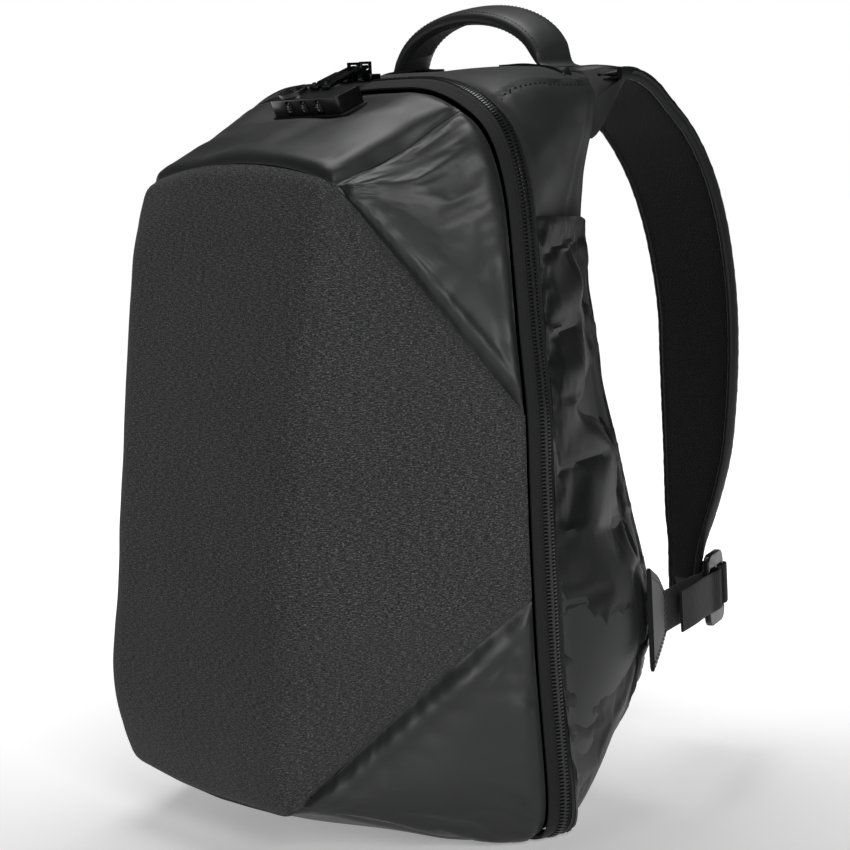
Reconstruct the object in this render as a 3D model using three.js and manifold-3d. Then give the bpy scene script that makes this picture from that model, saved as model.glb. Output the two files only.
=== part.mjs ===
import * as THREE from "three";
import { mergeVertices } from "three/addons/utils/BufferGeometryUtils.js";
import Module from "manifold-3d";

// Anti theft backpack standing on its base, zip closed and locked.
// Millimetres, +Z up, front towards -Y, zip chain in the plane Y = 0, floor at Z = 0.

// Driving sizes
const halfWidth = 152.5; // half the width at the zip, where the bag is widest
const zipHeight = 433.5; // top of the zip above the floor
const frontDepth = 145; // from the zip to the front of the grey panel
const backDepth = 104; // from the zip to the back at the top
const wall = 3; // padded cloth of the shell
const cloth = 2; // plain cloth of the pockets
const gap = 0.2; // each piece stops this far short of a seam
const tapeEdge = 12; // front edge of the zip tape, in front of the chain
const rearTapeEdge = 8; // rear edge of the zip tape, behind the chain
const chainHalf = 3.5; // half the width of the zip chain

const v3 = (x, y, z) => new THREE.Vector3(x, y, z);
const lerp = THREE.MathUtils.lerp;
const mix = (a, b, t) => a.clone().lerp(b, t);

// Materials
const fabric = (color, roughness = 0.9) => new THREE.MeshStandardMaterial({ color, roughness });
const grey = fabric(0x45464a, 0.95);
const coated = fabric(0x2c2e2f, 0.55);
const lining = fabric(0x1c1d1e, 0.9);
const mesh = fabric(0x17181a, 0.95);
const webbing = fabric(0x121314, 0.8);
const plastic = fabric(0x0f1011, 0.3);
const metal = new THREE.MeshStandardMaterial({ color: 0x2e3033, roughness: 0.25, metalness: 0.9 });

// Solids cut and joined from three.js shapes
const wasm = await Module();
wasm.setup();
function toManifold(geometry) {
  for (const name of ["normal", "uv"]) geometry.deleteAttribute(name);
  const merged = mergeVertices(geometry, 1e-4);
  return new wasm.Manifold(
    new wasm.Mesh({
      numProp: 3,
      vertProperties: merged.getAttribute("position").array,
      triVerts: new Uint32Array(merged.index.array),
    }),
  );
}
function fromManifold(made) {
  const data = made.getMesh();
  const geometry = new THREE.BufferGeometry();
  geometry.setAttribute("position", new THREE.BufferAttribute(data.vertProperties, 3));
  geometry.setIndex(Array.from(data.triVerts));
  geometry.computeVertexNormals();
  return geometry;
}
const box = (x, y, z, [cx, cy, cz]) =>
  toManifold(new THREE.BoxGeometry(x, y, z).translate(cx, cy, cz));
function rod(r, long, [cx, cy, cz], way = "z", sides = 20) {
  const geometry = new THREE.CylinderGeometry(r, r, long, sides);
  if (way === "z") geometry.rotateX(Math.PI / 2);
  else geometry.rotateZ(Math.PI / 2);
  return toManifold(geometry.translate(cx, cy, cz));
}
function rounded(x, y, z, r, [cx, cy, low]) {
  const shape = new THREE.Shape();
  const turns = [
    [x / 2 - r, y / 2 - r, 0],
    [r - x / 2, y / 2 - r, 90],
    [r - x / 2, r - y / 2, 180],
    [x / 2 - r, r - y / 2, 270],
  ];
  const points = turns.flatMap(([px, py, from]) =>
    [0, 30, 60, 90].map((more) => {
      const a = ((from + more) * Math.PI) / 180;
      return new THREE.Vector2(px + r * Math.cos(a), py + r * Math.sin(a));
    }),
  );
  shape.setFromPoints(points);
  const geometry = new THREE.ExtrudeGeometry(shape, { depth: z, bevelEnabled: false });
  return toManifold(geometry.translate(cx, cy, low));
}

const group = new THREE.Group();
function add(name, geometry, material, parent = group) {
  const piece = new THREE.Mesh(geometry, material);
  piece.name = name;
  parent.add(piece);
  return piece;
}

// Right half of the bag's side, from the top centre round to the base. Wide and high are shares of
// halfWidth and zipHeight, at the zip and at the back; deep is a share of backDepth; turn is the
// radius in mm between the side and the back.
const side = [
  // zipWide, zipHigh, backWide, backHigh, deep, turn
  [0.0, 0.999, 0.0, 1.008, 1.0, 6],
  [0.262, 1.0, 0.275, 1.008, 1.0, 6],
  [0.511, 0.995, 0.511, 1.003, 0.99, 6],
  [0.721, 0.969, 0.645, 0.978, 0.962, 8],
  [0.859, 0.925, 0.672, 0.927, 0.923, 12],
  [0.928, 0.854, 0.658, 0.854, 0.875, 14],
  [0.948, 0.761, 0.666, 0.78, 0.846, 16],
  [0.964, 0.664, 0.705, 0.681, 0.837, 16],
  [0.984, 0.57, 0.744, 0.572, 0.846, 16],
  [0.98, 0.489, 0.797, 0.489, 0.865, 16],
  [0.977, 0.406, 0.849, 0.406, 0.875, 16],
  [0.977, 0.325, 0.902, 0.328, 0.885, 16],
  [0.98, 0.231, 0.915, 0.231, 0.885, 16],
  [0.993, 0.138, 0.81, 0.143, 0.846, 16],
  [1.0, 0.069, 0.68, 0.074, 0.77, 14],
  [0.984, 0.028, 0.6, 0.03, 0.71, 11],
  [0.931, 0.007, 0.56, 0.008, 0.695, 9],
  [0.839, 0.001, 0.52, 0.001, 0.695, 8],
];
const lastRow = side.length - 1;
const seamTop = 3; // row where the top facet's seam meets the tape
const panelTop = 8; // rows between which the grey panel reaches the tape
const panelFoot = 11;

// A column of a table between its rows, as a smooth curve.
function smooth(table, column, row) {
  const i = Math.min(Math.floor(row), table.length - 2);
  const at = (k) => {
    if (k < 0) return column === "x" ? 0 : table[Math.min(-k, table.length - 1)][column];
    return table[Math.min(k, table.length - 1)][column];
  };
  const t = row - i;
  const [p0, p1, p2, p3] = [at(i - 1), at(i), at(i + 1), at(i + 2)];
  const a = (2 * p0 - 5 * p1 + 4 * p2 - p3) * t * t;
  return 0.5 * (2 * p1 + (p2 - p0) * t + a + (3 * p1 - p0 - 3 * p2 + p3) * t * t * t);
}

// Point of the zip outline (which = 0) or the back outline (which = 2) at a row; rows below 0 are
// the left half. out moves it along the outline's outward normal.
function outline(which, row, out = 0) {
  const at = (r) => {
    const s = Math.abs(r);
    let x = smooth(side, which, s) * halfWidth;
    if (s < 1) x = side[1][which] * halfWidth * s;
    return [Math.sign(r) * x, smooth(side, which + 1, s) * zipHeight];
  };
  const [x, z] = at(row);
  const step = 0.05;
  const [xa, za] = at(Math.max(row - step, -lastRow));
  const [xb, zb] = at(Math.min(row + step, lastRow));
  const long = Math.hypot(xb - xa, zb - za);
  const [nx, nz] = [-(zb - za) / long, (xb - xa) / long];
  return { x: x + nx * out, z: z + nz * out, nx, nz };
}
// How far the tape's front edge lies inside the outline: over the top the tape slopes forward.
const tapeDrop = (row) => 4.5 * Math.min(1, Math.max(0, (6 - Math.abs(row)) / 3)) ** 1.5;
const onTape = (row) => {
  const p = outline(0, row, -tapeDrop(row));
  return v3(p.x, -tapeEdge, p.z);
};
const steps = (from, to, count) =>
  Array.from({ length: count + 1 }, (_, i) => lerp(from, to, i / count));

// Closed sheet between an outer and an inner grid of points.
function sheet(outer, inner) {
  const cols = outer[0].length;
  const count = outer.length * cols;
  const at = (r, c) => r * cols + c;
  const faces = [];
  const quad = (a, b, c, d) => faces.push(a, b, c, a, c, d);
  for (let r = 0; r + 1 < outer.length; r++)
    for (let c = 0; c + 1 < cols; c++) {
      const [a, b, d, e] = [at(r, c), at(r + 1, c), at(r + 1, c + 1), at(r, c + 1)];
      quad(a, b, d, e);
      quad(count + a, count + e, count + d, count + b);
    }
  const rim = [];
  for (let r = 0; r < outer.length - 1; r++) rim.push(at(r, 0));
  for (let c = 0; c < cols - 1; c++) rim.push(at(outer.length - 1, c));
  for (let r = outer.length - 1; r > 0; r--) rim.push(at(r, cols - 1));
  for (let c = cols - 1; c > 0; c--) rim.push(at(0, c));
  rim.forEach((a, i) => {
    const b = rim[(i + 1) % rim.length];
    quad(b, a, count + a, count + b);
  });
  return solid([...outer.flat(), ...inner.flat()], faces);
}

// Geometry of points and faces, turned to face outwards.
function solid(points, faces) {
  let volume = 0;
  for (let i = 0; i < faces.length; i += 3) {
    const [a, b, c] = [points[faces[i]], points[faces[i + 1]], points[faces[i + 2]]];
    volume += a.dot(b.clone().cross(c));
  }
  if (volume < 0)
    for (let i = 0; i < faces.length; i += 3) [faces[i], faces[i + 1]] = [faces[i + 1], faces[i]];
  const geometry = new THREE.BufferGeometry();
  const flat = points.flatMap((p) => [p.x, p.y, p.z]);
  geometry.setAttribute("position", new THREE.Float32BufferAttribute(flat, 3));
  geometry.setIndex(faces);
  geometry.computeVertexNormals();
  return geometry;
}

// The grid drawn in from its seams, so that neighbours don't touch.
function drawnIn(grid, by = gap) {
  const [R, C] = [grid.length - 1, grid[0].length - 1];
  const towards = (p, q) => {
    const d = q.clone().sub(p);
    return d.multiplyScalar(Math.min(by, 0.3 * d.length()) / (d.length() || 1));
  };
  return grid.map((row, r) =>
    row.map((p, c) => {
      const moved = p.clone();
      if (r === 0) moved.add(towards(p, grid[1][c]));
      if (r === R) moved.add(towards(p, grid[R - 1][c]));
      if (c === 0) moved.add(towards(p, grid[r][1]));
      if (c === C) moved.add(towards(p, grid[r][C - 1]));
      return moved;
    }),
  );
}
const mirrored = (grid) => grid.map((row) => row.map((p) => v3(-p.x, p.y, p.z)));

const backFoot = side[lastRow][4] * backDepth; // where the base has turned up into the back
const footTurn = side[lastRow][5];

// Way into the bag from a point of its front shell, the same for both sides of a seam.
function inward(p) {
  const footStart = backFoot - footTurn;
  const turned = Math.max(0, (p.y - footStart) / footTurn);
  const back = p.y > -tapeEdge ? -1.5 * turned : (1.6 * (-tapeEdge - p.y)) / (frontDepth - tapeEdge);
  const up = turned > 0 ? 1 - 0.95 * turned : 1 - p.z / (zipHeight / 2);
  return v3(-p.x / halfWidth, back, up).normalize();
}
const padded = (grid, thick = wall) => {
  const outer = drawnIn(grid);
  return sheet(outer, outer.map((row) => row.map((p) => p.clone().addScaledVector(inward(p), thick))));
};
const puff = (u, w) => 16 * u * (1 - u) * w * (1 - w);

// Soft fold line from the grey panel's upper corner to its lower one, on the right. Across, deep
// and high are shares of halfWidth, frontDepth and zipHeight.
const crease = [
  // across, deep, high
  [0.525, 0.655, 0.885],
  [0.551, 0.683, 0.863],
  [0.57, 0.714, 0.835],
  [0.577, 0.755, 0.789],
  [0.577, 0.786, 0.727],
  [0.574, 0.821, 0.646],
  [0.57, 0.852, 0.57],
  [0.567, 0.866, 0.528],
  [0.564, 0.883, 0.487],
  [0.561, 0.9, 0.448],
  [0.557, 0.917, 0.406],
  [0.551, 0.931, 0.364],
  [0.548, 0.945, 0.325],
  [0.541, 0.969, 0.272],
  [0.531, 0.99, 0.219],
  [0.518, 1.0, 0.173],
  [0.505, 0.99, 0.134],
  [0.485, 0.969, 0.106],
  [0.459, 0.948, 0.087],
];
const creaseAt = (i) =>
  v3(crease[i][0] * halfWidth, -crease[i][1] * frontDepth, crease[i][2] * zipHeight);
const share = (x, y, z) => v3(x * halfWidth, -y * frontDepth, z * zipHeight);

// Corners of the grey panel: the upper and lower one are rounded, with the seams meeting midway.
const upperIn = creaseAt(0);
const upperMid = share(0.593, 0.638, 0.8745);
const upperOut = share(0.635, 0.597, 0.853);
const lowerIn = creaseAt(crease.length - 1);
const lowerMid = share(0.502, 0.943, 0.0905);
const lowerOut = share(0.531, 0.907, 0.103);
const tapeTop = onTape(panelTop);
const tapeFoot = onTape(panelFoot);
const seamHead = onTape(seamTop);
const baseEnd = onTape(lastRow);

const archOfTop = 5; // the grey panel's top edge rises to its middle
const dome = 5; // the grey panel stands forward in its middle
const frontSteps = 8; // columns between the fold lines

function frontRow(i) {
  const c = creaseAt(i);
  const arch = i < 3 ? (1 - i / 3) * archOfTop : 0;
  return steps(-1, 1, frontSteps).map((u) => {
    const lift = 1 - u * u;
    const forward = dome * Math.sin((Math.PI * i) / (crease.length - 1));
    return v3(u * c.x, c.y - forward * lift - (i < 3 ? 2 * lift : 0), c.z + arch * lift);
  });
}
function panelEdge(i) {
  if (i <= 6) {
    const t = (crease[0][2] - crease[i][2]) / (crease[0][2] - crease[6][2]);
    return mix(upperOut, tapeTop, t);
  }
  if (i <= 12) return onTape(lerp(panelTop, panelFoot, (i - 6) / 6));
  const t = (crease[12][2] - crease[i][2]) / (crease[12][2] - crease[18][2]);
  return mix(tapeFoot, lowerOut, t);
}
const corner = (a, m, b) => [a, mix(mix(a, m, 0.55), m, 0.35), m, mix(mix(b, m, 0.55), m, 0.35), b];
const panelRows = crease.map((_, i) => {
  let wing;
  if (i === 0) wing = corner(upperIn, upperMid, upperOut);
  else if (i === 18) wing = corner(lowerIn, lowerMid, lowerOut);
  else {
    const [a, b] = [creaseAt(i), panelEdge(i)];
    wing = steps(0, 1, 4).map((t) => {
      const p = mix(a, b, t);
      return p.addScaledVector(inward(p), -3.5 * 4 * t * (1 - t) * Math.sin((Math.PI * i) / 18));
    });
  }
  const front = frontRow(i);
  const left = wing.slice(1).reverse().map((p) => v3(-p.x, p.y, p.z));
  return [...left, ...front, ...wing.slice(1)];
});
add("front_panel", padded(panelRows), grey);

// The seam from the upper corner to the tape is tucked in halfway.
const tuck = 5;
function upperSeam(w) {
  const p = mix(upperMid, seamHead, w);
  return p.addScaledVector(inward(p), tuck * Math.sin(Math.PI * w) ** 2);
}
const facetSteps = [0, 0.17, 0.36, 0.55, 0.75, 1];

const upperApex = corner(upperMid, mix(upperMid, upperOut, 0.5), upperOut);
function alongCorner(points, t) {
  const s = t * (points.length - 1);
  const i = Math.min(Math.floor(s), points.length - 2);
  return mix(points[i], points[i + 1], s - i);
}
const upperFacet = facetSteps.map((w) =>
  steps(0, 1, 10).map((u) => {
    const from = alongCorner(upperApex, u);
    const p = mix(from, onTape(lerp(seamTop, panelTop, u)), w);
    p.add(upperSeam(w).sub(mix(upperMid, seamHead, w)).multiplyScalar((1 - u) ** 3));
    return p.addScaledVector(inward(p), -5 * puff(u, w));
  }),
);
add("upper_facet_right", padded(upperFacet), coated);
add("upper_facet_left", padded(mirrored(upperFacet)), coated);

// Top facet, pressed down under the lock.
const topFront = [upperMid, ...frontRow(0).reverse(), v3(-upperMid.x, upperMid.y, upperMid.z)];
const lockAt = { y: -34.5, half: 48 };
const topSteps = [0, 0.18, 0.38, 0.55, 0.66, 0.78, 0.9, 1];
const topFacet = topSteps.map((w) =>
  topFront.map((from, k) => {
    const row = lerp(seamTop, -seamTop, k / (topFront.length - 1));
    const p = mix(from, onTape(row), w);
    const fold = upperSeam(w).sub(mix(upperMid, seamHead, w));
    const right = Math.max(0, row / seamTop) ** 3;
    const left = Math.max(0, -row / seamTop) ** 3;
    p.add(fold.clone().multiplyScalar(right));
    p.add(v3(-fold.x, fold.y, fold.z).multiplyScalar(left));
    const pressed = w < 1 ? Math.exp(-((p.x / lockAt.half) ** 6) - ((p.y - lockAt.y - 6) / 18) ** 4) : 0;
    p.z += 3 * puff(k / (topFront.length - 1), w) * (1 - pressed) - 6 * pressed;
    return p;
  }),
);
add("top_facet", padded(topFacet), coated);

// Base panel: the lower seams on both sides follow this line, and the cloth sags between them.
const baseLine = [
  // depth in front of the zip as a share of frontDepth, height as a share of zipHeight, sag in mm
  [0.943, 0.0905, 0],
  [0.88, 0.0905, 4],
  [0.77, 0.0845, 9],
  [0.64, 0.0644, 10],
  [0.49, 0.041, 8],
  [0.33, 0.0166, 4],
  [tapeEdge / frontDepth, 0.0, 0],
];
function lowerSeam(k) {
  const t = (baseLine[0][0] - baseLine[k][0]) / (baseLine[0][0] - baseLine[6][0]);
  return v3(lerp(lowerMid.x, baseEnd.x, t), -baseLine[k][0] * frontDepth, baseLine[k][1] * zipHeight);
}
const lowerApex = corner(lowerMid, mix(lowerMid, lowerOut, 0.5), lowerOut);
const lowerFacet = baseLine.map((line, k) => {
  const w = (baseLine[0][0] - line[0]) / (baseLine[0][0] - baseLine[6][0]);
  return steps(0, 1, 12).map((u) => {
    const p = mix(alongCorner(lowerApex, u), onTape(lerp(lastRow, panelFoot, u)), w);
    const drop = lowerSeam(k).sub(mix(lowerMid, baseEnd, w));
    p.add(drop.multiplyScalar((1 - u) ** 2));
    if (k === 6) p.z = onTape(lerp(lastRow, panelFoot, u)).z;
    return p.addScaledVector(inward(p), -5 * puff(u, w) * u);
  });
});
add("lower_facet_right", padded(lowerFacet), coated);
add("lower_facet_left", padded(mirrored(lowerFacet)), coated);

const baseRows = baseLine.map((line, k) => {
  const end = lowerSeam(k);
  const front = frontRow(crease.length - 1);
  const xs = k === 0 ? [-lowerMid.x, ...front.map((p) => p.x), lowerMid.x] : steps(-end.x, end.x, frontSteps + 2);
  return xs.map((x, c) => {
    if (k === 0 && c > 0 && c < frontSteps + 2) return front[c - 1].clone();
    return v3(x, end.y, end.z - line[2] * (1 - (x / end.x) ** 2));
  });
});
for (const y of [rearTapeEdge, backFoot - footTurn - 22, backFoot - footTurn]) {
  const t = (y - rearTapeEdge) / (backFoot - footTurn - rearTapeEdge);
  const wide = lerp(baseEnd.x, side[lastRow][2] * halfWidth, t);
  baseRows.push(steps(-wide, wide, frontSteps + 2).map((x) => v3(x, y, 0)));
}
for (const turn of [0.35, 0.7, 1]) {
  const end = rearPoint(lastRow, 1 + turn);
  baseRows.push(steps(-end.x, end.x, frontSteps + 2).map((x) => v3(x, end.y, end.z)));
}
add("base_panel", padded(baseRows), coated);

// Zip: two tapes and the chain, from one lower corner over the top to the other.
const half = [...steps(0, 6, 12), ...steps(7, 13, 6), ...steps(13.5, lastRow, 2 * lastRow - 27)];
const rounds = [...half.slice(1).reverse().map((row) => -row), ...half];
function band(y0, y1, out, thick, drop = 0) {
  const rim = rounds.map((row, i) => (i === 0 ? row + 0.02 : i === rounds.length - 1 ? row - 0.02 : row));
  const grid = (offset) =>
    rim.map((row) =>
      [y0, y1].map((y, i) => {
        const p = outline(0, row, offset - (i === 0 ? drop * tapeDrop(row) : 0));
        return v3(p.x, y, Math.max(p.z, offset === out ? 0.3 : 0));
      }),
    );
  return sheet(grid(out), grid(out - thick));
}
add("zip_tape_front", band(-tapeEdge + 0.3, -chainHalf - 0.3, 0, 1.8, 1), lining);
add("zip_chain", band(-chainHalf, chainHalf, 1, 3), plastic);
add("zip_tape_rear", band(chainHalf + 0.3, rearTapeEdge - 0.3, 0, 1.8), lining);

// Sides and top of the rear body: flat from the zip to the turn, then round on to the back.
const turnSteps = [0.35, 0.7, 1];
function rearPoint(row, w) {
  const s = Math.abs(row);
  const back = outline(2, row);
  const turn = smooth(side, 5, s);
  const deep = smooth(side, 4, s) * backDepth;
  const zip = outline(0, row);
  if (w <= 1) {
    const t = w;
    const bulge = Math.min(5, 3 + s / 3, (lastRow - s) * 1.5) * 4 * t * (1 - t);
    const x = lerp(zip.x - zip.nx, back.x, t) + back.nx * bulge;
    const z = lerp(zip.z - zip.nz, back.z, t) + back.nz * bulge;
    return v3(x, lerp(rearTapeEdge, deep - turn, t), z);
  }
  const a = ((w - 1) * Math.PI) / 2;
  const inner = turn * (1 - Math.cos(a));
  return v3(back.x - back.nx * inner, deep - turn + turn * Math.sin(a), back.z - back.nz * inner);
}
const rearNormal = (row, w) => {
  const r = Math.min(Math.max(row, 0.01 - lastRow), lastRow - 0.01);
  const c = Math.min(Math.max(w, 0.01), 1.99);
  const across = rearPoint(r, c + 0.01).sub(rearPoint(r, c - 0.01));
  const along = rearPoint(r + 0.01, c).sub(rearPoint(r - 0.01, c));
  const n = along.cross(across).normalize();
  if (w <= 0) n.y = 0;
  return n.normalize();
};
const outwards = rearNormal(9, 0.5).x > 0 ? 1 : -1;
function rearGrid(rows, ws, offset) {
  return rows.map((row) =>
    ws.map((w) => rearPoint(row, w).addScaledVector(rearNormal(row, w), outwards * offset)),
  );
}
const rearWs = [0, 0.05, 0.38, 0.7, 1, ...turnSteps.map((t) => 1 + t)];
{
  const rows = rounds.map((r) => r);
  const outer = drawnIn(rearGrid(rows, rearWs, 0), 0.3);
  const inner = drawnIn(rearGrid(rows, rearWs, -2.5), 0.3);
  for (const p of [...outer, ...inner].flat()) p.z = Math.max(p.z, 0.2);
  add("rear_gusset", sheet(outer, inner), coated);
}

// Side pockets lie flat on the gusset, open at the top.
{
  const rows = half.filter((row) => row > 5.4 && row < lastRow - 0.7);
  const ws = rearWs.slice(1, -1);
  const lift = (i, j) => 1.3 + (j > 0 && j < ws.length - 1 ? 0.9 * (1 - (i + 1) / rows.length) : 0);
  const grid = (more) =>
    rows.map((row, i) =>
      ws.map((w, j) => {
        const at = row + 0.14 * w * Math.max(0, 1 - (row - 5.5) / 3); // the mouth slopes down to the back
        return rearPoint(at, w).addScaledVector(rearNormal(at, w), outwards * (lift(i, j) + more));
      }),
    );
  const [outer, inner] = [grid(cloth), grid(0)];
  add("side_pocket_right", sheet(outer, inner), coated);
  add("side_pocket_left", sheet(mirrored(outer).reverse(), mirrored(inner).reverse()), coated);
}

// Padded back panel: rings from its edge to its middle.
{
  const edge = rounds.map((row) => {
    const s = Math.abs(row);
    const turn = smooth(side, 5, s) + 0.6;
    const p = outline(2, row, -turn);
    return v3(p.x, smooth(side, 4, s) * backDepth, p.z);
  });
  const end = edge[edge.length - 1];
  const foot = steps(end.x, -end.x, 8).slice(1, -1);
  foot.forEach((x) => edge.push(v3(x, backFoot, end.z)));
  const middle = v3(0, 0, zipHeight * 0.5);
  const backAt = (z) => {
    for (let i = 1; i < side.length; i++) {
      const [a, b] = [side[i - 1], side[i]];
      const [za, zb] = [a[3] * zipHeight - a[5], b[3] * zipHeight - b[5] * (i > 14 ? 0 : 0.3)];
      if (z >= zb) return backDepth * lerp(a[4], b[4], Math.min(1, (za - z) / (za - zb || 1)));
    }
    return backFoot;
  };
  const shares = [1, 0.92, 0.5];
  const thick = 6;
  const points = [];
  const ring = (k, front) =>
    edge.forEach((p) => {
      const x = p.x * shares[k];
      const z = lerp(middle.z, p.z, shares[k]);
      const y = k === 0 ? p.y : lerp(backAt(z), p.y, k === 1 ? 0.5 : 0) + 3;
      points.push(v3(x, y - (front ? (k === 0 ? thick - 2 : thick) : 0), z));
    });
  for (const front of [false, true]) for (let k = 0; k < shares.length; k++) ring(k, front);
  const n = edge.length;
  const faces = [];
  const quad = (a, b, c, d) => faces.push(a, b, c, a, c, d);
  const back = points.length;
  points.push(v3(0, backAt(middle.z) + 3, middle.z), v3(0, backAt(middle.z) + 3 - thick, middle.z));
  for (let i = 0; i < n; i++) {
    const j = (i + 1) % n;
    for (let k = 0; k + 1 < shares.length; k++) {
      quad(k * n + i, k * n + j, (k + 1) * n + j, (k + 1) * n + i);
      quad((k + 3) * n + j, (k + 3) * n + i, (k + 4) * n + i, (k + 4) * n + j);
    }
    faces.push(2 * n + i, 2 * n + j, back, 5 * n + j, 5 * n + i, back + 1);
    quad(j, i, 3 * n + i, 3 * n + j);
  }
  add("back_panel", solid(points, faces), mesh);
}

// Flat padded strip with rounded edges along a path; rows are centre, width along X and thickness.
const ovalish = [
  [-0.5, -0.2],
  [-0.47, -0.5],
  [0.47, -0.5],
  [0.5, -0.2],
  [0.5, 0.2],
  [0.47, 0.5],
  [-0.47, 0.5],
  [-0.5, 0.2],
];
function loft(sections) {
  const n = sections[0].length;
  const points = sections.flat();
  const faces = [];
  const quad = (a, b, c, d) => faces.push(a, b, c, a, c, d);
  for (let s = 0; s + 1 < sections.length; s++)
    for (let i = 0; i < n; i++) {
      const j = (i + 1) % n;
      quad(s * n + i, s * n + j, (s + 1) * n + j, (s + 1) * n + i);
    }
  const last = (sections.length - 1) * n;
  for (let i = 1; i + 1 < n; i++) faces.push(0, i + 1, i, last, last + i, last + i + 1);
  return solid(points, faces);
}

// Shoulder strap: x, y, z, width and thickness as shares of halfWidth, backDepth, zipHeight, and mm.
const strapRows = [
  // across, back, high, width, thick
  [0.465, 1.006, 0.993, 72, 7],
  [0.47, 1.135, 0.993, 75, 7],
  [0.47, 1.279, 0.98, 75, 7.5],
  [0.466, 1.442, 0.948, 74, 7.5],
  [0.463, 1.615, 0.907, 73, 7.5],
  [0.465, 1.769, 0.847, 71, 7.5],
  [0.466, 1.865, 0.784, 69, 7.5],
  [0.468, 1.923, 0.715, 67, 7.5],
  [0.475, 1.942, 0.646, 65, 7.5],
  [0.472, 1.942, 0.577, 64, 7.5],
  [0.462, 1.942, 0.512, 61, 7.5],
  [0.443, 1.942, 0.438, 55, 7.5],
  [0.413, 1.942, 0.381, 47, 7],
  [0.387, 1.942, 0.339, 39, 7],
  [0.364, 1.942, 0.3, 31, 5],
  [0.348, 1.937, 0.258, 27, 4],
  [0.341, 1.937, 0.226, 25, 4],
];
const strapPath = strapRows.map((r) => v3(r[0] * halfWidth, r[1] * backDepth, r[2] * zipHeight));
const strapSections = strapRows.map((r, i) => {
  const a = strapPath[Math.max(i - 1, 0)];
  const b = strapPath[Math.min(i + 1, strapRows.length - 1)];
  const run = b.clone().sub(a);
  const normal = i === 0 ? v3(0, 0, 1) : v3(0, -run.z, run.y).normalize();
  return ovalish.map(([u, w]) => {
    const p = strapPath[i].clone();
    p.x += u * r[3];
    return p.addScaledVector(normal, w * r[4]);
  });
});
strapSections[0].forEach((p) => (p.y = backDepth + 0.4));
add("shoulder_strap_right", loft(strapSections), mesh);
add("shoulder_strap_left", loft(mirrored(strapSections)), mesh);

// Carry handle: padded arch across the back of the top, its rear edge a little higher.
{
  const [span, rise, width, thick] = [0.46 * halfWidth, 34, 28, 9];
  const middle = { y: 0.9 * backDepth, z: 1.008 * zipHeight - 0.6 };
  const arch = [];
  const foot = [-1, 1].map((s) => ({ x: s * (span + 9), z: middle.z + 1.9, nx: 0, nz: 1, t: 3 }));
  arch.push(foot[1]);
  arch.push({ x: span - 1, z: middle.z + 3.2, nx: 0.45, nz: 0.9, t: 5 });
  for (const a of steps(18, 162, 12)) {
    const r = (a * Math.PI) / 180;
    const [nx, nz] = [Math.cos(r) * rise, Math.sin(r) * span];
    const long = Math.hypot(nx, nz);
    arch.push({
      x: Math.cos(r) * (span - 3),
      z: middle.z + 1 + Math.sin(r) * rise,
      nx: nx / long,
      nz: nz / long,
      t: thick,
    });
  }
  arch.push({ x: 1 - span, z: middle.z + 3.2, nx: -0.45, nz: 0.9, t: 5 });
  arch.push(foot[0]);
  const sections = arch.map((p, i) => {
    const lean = i < 2 || i > arch.length - 3 ? 0 : 0.16;
    return ovalish.map(([u, w]) => {
      const z = p.z + p.nz * w * p.t + lean * u * width;
      return v3(p.x + p.nx * w * p.t, middle.y + u * width, z);
    });
  });
  add("carry_handle", loft(sections), coated);
}

// Strip standing on its edge along a path seen from above: points are x, y, z of its middle line.
function upright(path, width, thick) {
  const outer = [];
  const inner = [];
  path.forEach((p, i) => {
    const a = path[Math.max(i - 1, 0)];
    const b = path[Math.min(i + 1, path.length - 1)];
    const n = v3(b[1] - a[1], a[0] - b[0], 0).normalize();
    const half = (p[3] ?? width) / 2;
    for (const [list, s] of [
      [outer, 0.5],
      [inner, -0.5],
    ])
      list.push([-half, half].map((h) => v3(p[0] + n.x * s * thick, p[1] + n.y * s * thick, p[2] + h)));
  });
  return sheet(outer, inner);
}

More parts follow.
